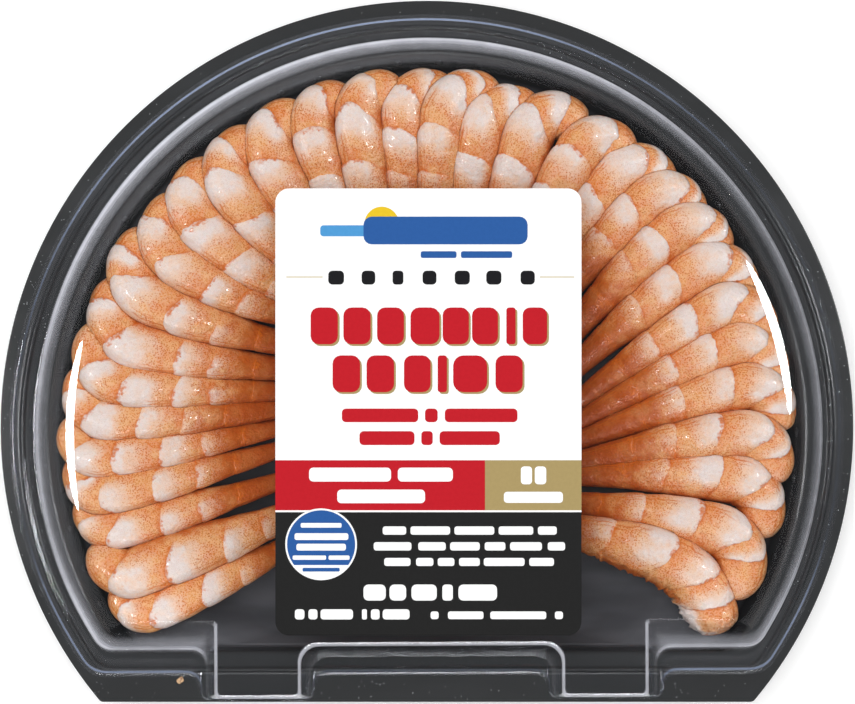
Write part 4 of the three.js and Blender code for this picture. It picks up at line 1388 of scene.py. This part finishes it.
@dataclass
class Shrimp:
    """One shrimp of the fan, bent along its middle line."""

    place: Place
    number: int
    shape: ShrimpShape = field(default_factory=ShrimpShape)

    def middle_line(self) -> dict[str, np.ndarray]:
        """Follow the body from beyond its tail to beyond its head.

        Returns:
            Shares of the length, and for each the point, directions and half sizes there.
        """
        place, shape = self.place, self.shape
        length = shape.length * math.sqrt(place.size)
        hook_start = 1 - place.hook / length
        turn = min(math.radians(place.turn), place.hook / shape.tightest_bend)
        share = np.linspace(0.0, shape.longest, shape.steps)

        def heading(at: np.ndarray) -> np.ndarray:
            """The way that the body heads, clockwise from the back."""
            hooked = np.clip((at - hook_start) / (1 - hook_start), 0, 1) ** shape.hook_power
            return np.radians(place.aim + place.sag * np.minimum(at, 1)) + turn * hooked

        stride = length * (share[1] - share[0])
        middle = heading((share[1:] + share[:-1]) / 2)
        x = np.concatenate(([0.0], np.cumsum(np.sin(middle)))) * stride
        y = np.concatenate(([0.0], np.cumsum(np.cos(middle)))) * stride
        lift = shape.lift * math.sin(shape.lift_phase * self.number)
        rise = smoothstep(*shape.rises, share)
        z = shape.tail_z + (shape.body_z + lift - shape.tail_z) * rise
        z = z - shape.head_drop * smoothstep(hook_start, shape.head_end, share)
        roll = shape.tail_roll + (shape.head_roll - shape.tail_roll) * smoothstep(*shape.rolls, share)
        depth = np.interp(share, shape.shares, shape.depths) * place.size
        width = np.interp(share, shape.shares, shape.widths) * place.size
        angle = heading(share)
        tangent = np.stack((np.sin(angle), np.cos(angle), np.gradient(z, stride)), axis=1)
        tangent /= np.linalg.norm(tangent, axis=1, keepdims=True)
        backwards = np.stack((-np.cos(angle), np.sin(angle), np.zeros_like(angle)), axis=1)
        upwards = np.cross(tangent, backwards)
        upwards /= np.linalg.norm(upwards, axis=1, keepdims=True)
        cos, sin = np.cos(roll)[:, None], np.sin(roll)[:, None]
        dorsal = backwards * cos + upwards * sin
        lateral = upwards * cos - backwards * sin
        limit = shape.belly_share * place.hook / turn / np.cos(roll)
        before, after = shape.belly_narrows
        hooked = smoothstep(hook_start - before, hook_start + after, share)
        belly = np.minimum(depth, depth + (limit - depth) * hooked)
        outwards = math.radians(place.tip)
        tip = int(np.argmax(angle >= outwards + math.pi / 2)) or int(np.argmax(share >= 1.0))
        half = math.hypot(depth[tip] * math.cos(roll[tip]), width[tip] * math.sin(roll[tip]))
        reach = place.reach - half
        x += reach * math.sin(outwards) - x[tip]
        y += FLANGE_CENTRE_Y + reach * math.cos(outwards) - y[tip]
        return {"share": share, "x": x, "y": y, "z": z, "tangent": tangent, "dorsal": dorsal,
                "lateral": lateral, "depth": depth, "belly": belly, "width": width}

    def joints_round(self, angle: np.ndarray, random: np.random.Generator) -> np.ndarray:
        """Shares of the length where the tiles meet, for each spoke.

        Each tile ends in a rounded lobe that lies over the next one, furthest forward beside the back.

        Args:
            angle: each spoke's angle from the back.
            random: this shrimp's own draws.

        Returns:
            One row for each joint, with the two ends as the first and last.
        """
        shape = self.shape
        ends = self.place.ends
        middles = (0.0, ends[0] - shape.first_ring, *ends, shape.whole)
        rows = []
        for middle, usual in zip(middles, shape.lobes):
            if usual == 0.0:
                rows.append(np.full_like(angle, middle))
                continue
            lobe = usual * random.uniform(*shape.lobe_sizes)
            apex = shape.facing + random.uniform(*shape.lobe_turns)
            ragged = wave(angle, shape.ragged, random)
            rows.append(middle + lobe * (np.cos(angle - apex) - 1) + shape.raggedness * ragged)
        return np.array(rows)

    def points(self, extra: float = 0.0) -> tuple[np.ndarray, dict[str, np.ndarray]]:
        """Work out where every point of the body lies.

        Args:
            extra: how far the whole surface is swollen.

        Returns:
            Points by ring and spoke with one ring for each pole, and the numbers that they carry.
        """
        shape = self.shape
        random = np.random.default_rng(FIRST_SEED + self.number)
        tile, along = shape.ring_tiles()
        angle = shape.spoke_angles()
        joints = self.joints_round(angle, random)
        share = joints[tile] + (joints[tile + 1] - joints[tile]) * along[:, None]
        line = self.middle_line()

        def at(name: str) -> np.ndarray:
            """Look up a number or direction of the middle line at every point's share.

            Args:
                name: which one.

            Returns:
                Its values by ring and spoke.
            """
            values = line[name]
            if values.ndim == 1:
                return np.interp(share, line["share"], values)
            return np.stack([np.interp(share, line["share"], values[:, k]) for k in range(3)], axis=-1)

        swell = self.swell(tile, along, angle) + self.lumps(share, angle, random)
        if self.place.shows_cut_end:
            swell = swell + self.torn(share, angle, random)
        cos, sin = np.cos(angle)[None, :], np.sin(angle)[None, :]
        back = at("depth") * swell + extra
        belly = at("belly") * swell + extra
        side = at("width") * swell + extra
        along_dorsal = cos * np.where(cos > 0, back, belly)
        centre = np.stack((at("x"), at("y"), at("z")), axis=-1)
        grid = centre + at("dorsal") * along_dorsal[..., None] + at("lateral") * (sin * side)[..., None]
        tail = grid[0].mean(axis=0, keepdims=True) - at("tangent")[0, :1] * (shape.tail_cap + extra)
        head = grid[-1].mean(axis=0, keepdims=True) + at("tangent")[-1, :1] * (shape.head_cap + extra)
        rows = np.concatenate((np.repeat(tail, len(angle), 0)[None], grid,
                               np.repeat(head, len(angle), 0)[None]))
        return rows, self.facts(tile, along, angle, random)

    def swell(self, tile: np.ndarray, along: np.ndarray, angle: np.ndarray) -> np.ndarray:
        """How full the body is at each point, with a step down where a tile ends over the next one.

        Args:
            tile: each ring's tile.
            along: each ring's share of the way along its tile.
            angle: each spoke's angle from the back.

        Returns:
            Shares of the body's half size, by ring and spoke.
        """
        shape = self.shape
        shown = 0.55 + 0.45 * np.cos(angle - shape.facing)[None, :]
        s, t = along[:, None], tile[:, None]
        last = len(shape.rings) - 1
        full = shape.fullness * smoothstep(0.0, 0.4, s) + shape.mound * np.exp(-((s - 0.78) / 0.16) ** 2)
        full = full - shape.step_down * smoothstep(0.93, 1.0, s) ** 2 - shape.sunk
        full = np.where(t == 0, 0.02 * smoothstep(0.4, 0.9, s) - 0.02 * smoothstep(0.96, 1, s) - 0.02, full)
        full = np.where(t == last, np.minimum(full, 0.0), full)
        body = 0.995 + full * shown
        tail_end = np.sqrt(np.clip(s / 0.05, 0.0, 1.0)) * 0.75 + 0.25
        head_end = np.sqrt(np.clip(1 - ((s - 0.3) / 0.71) ** 2, 0.0, 1.0))
        body = np.where(t == 0, body * tail_end, body)
        return np.where((t == last) & (s > 0.3), body * head_end, body)

    def lumps(self, share: np.ndarray, angle: np.ndarray, random: np.random.Generator) -> np.ndarray:
        """Soft unevenness all over the body.

        Args:
            share: each point's share of the length.
            angle: each spoke's angle from the back.
            random: this shrimp's own draws.

        Returns:
            Shares of the body's half size to add, by ring and spoke.
        """
        total = np.zeros_like(share)
        for size, waves in self.shape.lumps:
            turns = int(random.integers(1, 5))
            twist = 1.3 * np.sin(turns * angle)[None, :]
            along = np.sin(waves * share + random.uniform(0, FULL_TURN) + twist)
            total += size * along * np.cos(turns * angle + random.uniform(0, FULL_TURN))[None, :]
        return total

    def torn(self, share: np.ndarray, angle: np.ndarray, random: np.random.Generator) -> np.ndarray:
        """Ragged bits along the belly and round the cut end of the shrimp that shows them.

        Args:
            share: each point's share of the length.
            angle: each spoke's angle from the back.
            random: this shrimp's own draws.

        Returns:
            Shares of the body's half size to add, by ring and spoke.
        """
        shape = self.shape
        aside = apart(angle - shape.facing, shape.belly_angle)
        belly = smoothstep(0.9, 0.3, aside)[None, :] * smoothstep(0.3, 0.45, share)
        end = smoothstep(0.97, 1.03, share)
        teeth = sum(np.sin(waves * share + random.uniform(0, FULL_TURN)) for waves in shape.teeth)
        teeth = teeth / len(shape.teeth)
        bits = random.uniform(-1.0, 1.0, share.shape)
        return shape.tooth * belly * teeth + shape.belly_bits * belly * bits + shape.end_bits * end * bits

    def facts(self, tile: np.ndarray, along: np.ndarray, angle: np.ndarray,
              random: np.random.Generator) -> dict[str, np.ndarray]:
        """Work out where the body is pale, creased or cut, and where it is deep orange, which on the flanks
        and at the head's end is partly painted shade.

        Args:
            tile: each ring's tile.
            along: each ring's share of the way along its tile.
            angle: each spoke's angle from the back.
            random: this shrimp's own draws.

        Returns:
            Numbers by ring and spoke.
        """
        def by_ring(values: Sequence[float]) -> np.ndarray:
            """Each ring's number out of one for each tile, as a column."""
            return np.asarray(values)[tile][:, None]

        shape = self.shape
        s, t = along[:, None], tile[:, None]
        around = angle[None, :]
        flat = np.zeros((len(along), len(angle)))
        tiles = len(shape.rings)
        starts = np.array(shape.pale_starts) + random.uniform(-0.1, 0.1, tiles)
        wide = np.array(shape.pale_widths) * random.uniform(0.9, 1.15, tiles)
        strength = np.array(shape.pale_strengths) * random.uniform(0.85, 1.1, tiles)
        middle = shape.facing + random.uniform(-0.3, 0.15, tiles)
        aside = apart(around, by_ring(middle))
        side = smoothstep(1.45, 0.7, aside / by_ring(wide))
        patch = smoothstep(-0.42, 0.32, s - by_ring(starts) + 0.16 * (side - 0.5))
        patch = by_ring(strength) * patch * side
        milky = smoothstep(0.0, 0.7, s) * smoothstep(1.8, 0.6, aside) * by_ring(shape.milk)
        deep = by_ring(shape.deep_first)
        deep = deep + (by_ring(shape.deep_last) - deep) * s
        # Deeper orange on the flanks: partly their own colour, partly painted shade where the shrimps meet.
        deep = np.maximum(deep, shape.deep_flanks_and_shade * smoothstep(0.85, 1.9, apart(around, shape.facing)))
        if self.place.shows_cut_end:
            below = apart(around - shape.facing, shape.belly_angle)
            raw = smoothstep(1.25, 0.6, below) * smoothstep(4.3, 5.3, t + s)
            end = smoothstep(0.8, 0.97, s) * smoothstep(2.1, 1.3, below) * (t == tiles - 1)
            raw = np.maximum(raw, end)
            patch, deep = np.maximum(patch, 1.1 * raw), deep * (1 - raw)
        crease = smoothstep(0.1, 0.0, s) * (t > 0)
        from_cut = around - shape.cut_angle
        values = {"patch": patch, "milky": milky, "deep": deep, "crease": crease,
                  "over": np.sin(from_cut), "top": np.cos(from_cut), "tile": t + 0.999 * s}
        return {name: value + flat for name, value in values.items()}


@dataclass
class Fan:
    """All the shrimps, each one cut clear of those that lie on it.

    gap is how clear they are cut, and neighbours how many may lie on one. bowl_gap and dome_gap are how
    far they stay from the tray and from the lid, whose inside is given by two heights and radii.
    """

    gap: float = 0.12
    neighbours: int = 3
    bowl_gap: float = 0.3
    dome_gap: float = 0.4
    dome_heights: Span = (30.0, 42.0)
    dome_radii: Span = (123.0, 114.0)

    def template(self, shape: ShrimpShape) -> tuple[bpy.types.Mesh, np.ndarray, np.ndarray]:
        """A ball whose rings and spokes become a shrimp's.

        Args:
            shape: the rules that give the number of rings and spokes.

        Returns:
            The mesh, and the ring and spoke of each of its vertices.
        """
        bm = bmesh.new()
        bmesh.ops.create_uvsphere(
            bm, u_segments=shape.spokes, v_segments=shape.ring_count() + 1, radius=1.0)
        mesh = bpy.data.meshes.new("shrimp_template")
        bm.to_mesh(mesh)
        bm.free()
        co = np.empty(len(mesh.vertices) * 3)
        mesh.vertices.foreach_get("co", co)
        co = co.reshape(-1, 3)
        polar = np.pi - np.arccos(np.clip(co[:, 2], -1, 1))
        ring = np.rint(polar * (shape.ring_count() + 1) / np.pi).astype(int)
        spoke = np.rint(np.arctan2(co[:, 1], co[:, 0]) * shape.spokes / (2 * np.pi)).astype(int)
        return mesh, ring, spoke % shape.spokes

    def mesh_of(self, shrimp: Shrimp, template: tuple[bpy.types.Mesh, np.ndarray, np.ndarray],
                extra: float) -> bpy.types.Mesh:
        """Make one shrimp's whole mesh, before it is cut.

        Args:
            shrimp: the shrimp.
            template: the ball, with the ring and spoke of each vertex.
            extra: how far the whole surface is swollen.

        Returns:
            The mesh, in metres.
        """
        source, ring, spoke = template
        rows, facts = shrimp.points(extra)
        points = rows[ring, spoke]
        mesh = source.copy()
        mesh.name = f"shrimp_{shrimp.number + 1:02d}_mesh"
        mesh.vertices.foreach_set("co", (self.kept_in_bowl(points) * MM).ravel())
        inner = np.clip(ring - 1, 0, len(rows) - 3)
        for name, values in facts.items():
            layer = mesh.attributes.new(name, "FLOAT", "POINT")
            layer.data.foreach_set("value", values[inner, spoke].astype(np.float32))
        mesh.update()
        return mesh

    def kept_in_bowl(self, points: np.ndarray) -> np.ndarray:
        """Move points that would cross the tray or the lid back inside.

        Args:
            points: points in millimetres, one to a row.

        Returns:
            The points where they end up.
        """
        bowl = Tray().bowl
        heights = [row[0] for row in bowl]
        radii = [row[1] for row in bowl]
        moved = points.copy()
        reach = np.hypot(moved[:, 0], moved[:, 1] - BOWL_CENTRE_Y)
        moved[:, 2] = np.maximum(moved[:, 2], np.interp(reach, radii, heights) + self.bowl_gap)
        limit = np.interp(moved[:, 2], [*heights, *self.dome_heights], [*radii, *self.dome_radii])
        limit = limit - self.dome_gap
        scale = np.minimum(1.0, limit / np.maximum(reach, 1e-6))
        moved[:, 0] *= scale
        moved[:, 1] = BOWL_CENTRE_Y + (moved[:, 1] - BOWL_CENTRE_Y) * scale
        return moved

    @staticmethod
    def cut(mesh: bpy.types.Mesh, cutters: Sequence[bpy.types.Object]) -> bpy.types.Mesh:
        """Take the cutters away from a mesh.

        Args:
            mesh: the mesh to cut.
            cutters: objects whose shapes are taken away.

        Returns:
            What is left, as a new mesh.
        """
        holder = bpy.data.objects.new("cut_holder", mesh)
        bpy.context.scene.collection.objects.link(holder)
        for cutter in cutters:
            modifier = holder.modifiers.new("cut", "BOOLEAN")
            modifier.operation = "DIFFERENCE"
            modifier.solver = "MANIFOLD"
            modifier.object = cutter
        graph = bpy.context.evaluated_depsgraph_get()
        result = bpy.data.meshes.new_from_object(holder.evaluated_get(graph))
        result.materials.clear()
        bpy.data.objects.remove(holder)
        return result

    def build(self) -> None:
        """Make every shrimp as its own piece."""
        shape = ShrimpShape()
        flesh = ShrimpFlesh().material()
        template = self.template(shape)
        shrimps = [Shrimp(place, number, shape) for number, place in enumerate(FAN)]
        cutters = []
        for shrimp in shrimps:
            cutter = bpy.data.objects.new("cutter", self.mesh_of(shrimp, template, self.gap))
            bpy.context.scene.collection.objects.link(cutter)
            cutters.append(cutter)
        for shrimp in shrimps:
            above = cutters[shrimp.number + 1:shrimp.number + 1 + self.neighbours]
            mesh = self.cut(self.mesh_of(shrimp, template, 0.0), above)
            mesh.name = f"cooked_shrimp_{shrimp.number + 1:02d}"
            mesh.shade_smooth()
            to_piece(mesh, [flesh], [f"shrimp_{shrimp.number + 1:02d}"])
        for cutter in cutters:
            bpy.data.objects.remove(cutter)


# ------------------------------------------------------------------------------------- dust and crumb


@dataclass(frozen=True)
class DustBand:
    """A ring on the rim that dust lies on: its radii, its height and how many specks it has."""

    inner: float
    outer: float
    z: float
    count: int


@dataclass
class Dirt:
    """Fine white dust on the rim and flange, and the golden crumb at the front left.

    front is the front and back edge, height and number of specks of the dust along the straight front,
    which lies in its middle and at both sides. past_sides is how far the bands run on past the sides.
    """

    bands: tuple[DustBand, ...] = (
        DustBand(137.4, 139.4, FLANGE_TOP, 70),
        DustBand(134.9, 135.6, 25.1, 36),
        DustBand(129.8, 131.2, 24.2, 60),
    )
    front: tuple[float, float, float, int] = (-114.2, -108.2, FLANGE_TOP, 46)
    front_middle: Span = (-36, 36)
    front_sides: Span = (80, 112)
    past_sides: float = 0.45
    speck_sizes: Span = (0.06, 0.15)
    speck_shape: tuple[float, float, float] = (1.5, 0.8, 0.5)
    seed: int = 77
    crumb: tuple[float, float, float] = (-80.9, -107.9, FLANGE_TOP + 0.55)
    crumb_size: tuple[float, float, float] = (2.1, 1.7, 1.1)
    crumb_turn: float = math.radians(38)
    crumb_lumps: float = 0.12

    def dust(self) -> bpy.types.Mesh:
        """Scatter the specks.

        Returns:
            Their mesh.
        """
        bm = bmesh.new()
        random = np.random.default_rng(self.seed)
        places = []
        for band in self.bands:
            for _ in range(band.count):
                angle = random.uniform(-self.past_sides, math.pi + self.past_sides)
                reach = random.uniform(band.inner, band.outer)
                places.append((reach * math.cos(angle), BOWL_CENTRE_Y + reach * math.sin(angle), band.z))
        front, back, z, count = self.front
        places += [(random.uniform(*self.front_middle), random.uniform(front, back), z)
                   for _ in range(count // 2)]
        places += [(side * random.uniform(*self.front_sides), random.uniform(front, back), z)
                   for side in (-1, 1) for _ in range(count // 4)]
        stretch = Matrix.Diagonal((*self.speck_shape, 1))
        for x, y, z in places:
            size = random.uniform(*self.speck_sizes)
            turn = Matrix.Rotation(random.uniform(0, FULL_TURN), 4, "Z") @ stretch
            bmesh.ops.create_icosphere(
                bm, subdivisions=1, radius=size, matrix=Matrix.Translation((x, y, z + 0.3 * size)) @ turn)
        return to_mesh(bm, "dust_specks")

    def crumb_mesh(self) -> bpy.types.Mesh:
        """A rough little block of batter.

        Returns:
            Its mesh.
        """
        bm = bmesh.new()
        bmesh.ops.create_cube(bm, size=1.0)
        bmesh.ops.bevel(bm, geom=bm.edges[:], offset=0.18, segments=2, profile=0.5, material=-1,
                        affect="EDGES")
        bmesh.ops.subdivide_edges(bm, edges=bm.edges[:], cuts=2, use_grid_fill=True)
        for vert in bm.verts:
            lump = noise.noise(vert.co * 3.1 + Vector((4.0, 1.0, 7.0)))
            vert.co += vert.normal * self.crumb_lumps * lump
        bmesh.ops.scale(bm, vec=Vector(self.crumb_size), verts=bm.verts)
        bmesh.ops.rotate(bm, cent=Vector(), matrix=Matrix.Rotation(self.crumb_turn, 3, "Z"), verts=bm.verts)
        bmesh.ops.translate(bm, vec=Vector(self.crumb), verts=bm.verts)
        return to_mesh(bm, "crumb")

    def build(self) -> None:
        """Make the dust and the crumb."""
        dust = Crumbly("dust", srgb(205, 208, 214), srgb(150, 154, 162)).material()
        golden = Crumbly("golden_crumb", srgb(214, 172, 118), srgb(120, 84, 66)).material()
        to_piece(self.dust(), [dust])
        to_piece(self.crumb_mesh(), [golden])


# ------------------------------------------------------------------------------------- studio


@dataclass(frozen=True)
class SoftBox:
    """A flat soft light: where it stands, its size in millimetres and how bright its face is.

    Angles are in degrees: azimuth anticlockwise from +X, elevation above the horizon.
    """

    name: str
    azimuth: float
    elevation: float
    distance: float
    width: float
    height: float
    radiance: float
    mirrored: bool

    def build(self) -> None:
        """Add the light, which either shows in glossy surfaces or lights the matt ones."""
        data = bpy.data.lights.new(self.name, "AREA")
        data.shape = "ELLIPSE" if self.mirrored else "RECTANGLE"
        data.size = self.width * MM
        data.size_y = self.height * MM
        data.energy = self.radiance * math.pi * data.size * data.size_y
        light = bpy.data.objects.new(self.name, data)
        turn, tilt = math.radians(self.azimuth), math.radians(self.elevation)
        direction = Vector((math.cos(turn) * math.cos(tilt), math.sin(turn) * math.cos(tilt), math.sin(tilt)))
        light.location = direction * self.distance * MM + Vector((0, BOWL_CENTRE_Y * MM, 0))
        light.rotation_euler = direction.to_track_quat("Z", "Y").to_euler()
        light.visible_diffuse = not self.mirrored
        light.visible_glossy = self.mirrored
        light.visible_camera = False
        bpy.context.scene.collection.objects.link(light)


@dataclass
class Studio:
    """The camera straight above, soft lights and a pale floor."""

    camera_height: float = 1397.0
    camera_x: float = 0.2
    camera_y: float = -0.2
    shown_width: float = 280.65
    sensor: float = 36.0
    ambient: float = 0.75
    mirrored_ambient: float = 0.1
    floor_glow: float = 0.18
    floor_half: float = 4000.0
    floor_drop: float = 0.1
    boxes: tuple[SoftBox, ...] = (
        SoftBox("mirrored_left", 180.5, 50, 900, 259, 560, 30.0, True),
        SoftBox("mirrored_right", 14.2, 44, 900, 270, 730, 30.0, True),
        SoftBox("mirrored_front", 270, 40, 900, 900, 500, 10.0, True),
        SoftBox("overhead", 120, 80, 1700, 1300, 1300, 3.6, False),
    )

    def camera(self) -> None:
        """Place the camera over the tray, with a long lens."""
        data = bpy.data.cameras.new("camera")
        data.sensor_width = self.sensor
        data.lens = self.sensor * (self.camera_height - FLANGE_TOP) / self.shown_width
        data.clip_end = 20.0
        camera = bpy.data.objects.new("camera", data)
        camera.location = (self.camera_x * MM, self.camera_y * MM, self.camera_height * MM)
        bpy.context.scene.collection.objects.link(camera)
        bpy.context.scene.camera = camera

    def world(self) -> None:
        """Soft light all round, dimmer where glossy surfaces mirror it."""
        world = bpy.data.worlds.new("studio")
        world.use_nodes = True
        nodes, links = world.node_tree.nodes, world.node_tree.links
        nodes.clear()
        path = nodes.new("ShaderNodeLightPath")
        level = nodes.new("ShaderNodeMapRange")
        level.inputs["To Min"].default_value = self.ambient
        level.inputs["To Max"].default_value = self.mirrored_ambient
        sky = nodes.new("ShaderNodeBackground")
        output = nodes.new("ShaderNodeOutputWorld")
        links.new(path.outputs["Is Glossy Ray"], level.inputs["Value"])
        links.new(level.outputs[0], sky.inputs["Strength"])
        links.new(sky.outputs[0], output.inputs["Surface"])
        bpy.context.scene.world = world

    def floor(self) -> None:
        """Lay a plain pale floor just under the tray."""
        bm = bmesh.new()
        bmesh.ops.create_grid(bm, x_segments=1, y_segments=1, size=self.floor_half)
        bmesh.ops.translate(bm, verts=bm.verts, vec=Vector((0, 0, -self.floor_drop)))
        mesh = to_mesh(bm, "pale_floor")
        g = Graph("floor_paint")
        tone = g.mix(g.noise(3.0), srgb(248, 248, 248), srgb(252, 252, 252))
        paint = g.principled(Base_Color=tone, Roughness=0.7, Emission_Color=tone,
                             Emission_Strength=self.floor_glow)
        mesh.materials.append(g.finish(paint))
        floor = bpy.data.objects.new("pale_floor", mesh)
        bpy.context.scene.collection.objects.link(floor)

    def build(self) -> None:
        """Set up the whole studio."""
        self.camera()
        self.world()
        self.floor()
        for box in self.boxes:
            box.build()
        bpy.context.scene.view_settings.view_transform = "Standard"


def main() -> None:
    """Build the studio and every piece, and log each as it is done."""
    logging.basicConfig(level=logging.INFO, format="%(name)s %(message)s")
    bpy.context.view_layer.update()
    for part in (Studio(), Tray(), Fan(), Lid(), Label(), Dirt()):
        part.build()
        LOG.info("%s done", type(part).__name__)


if __name__ == "__main__":
    main()
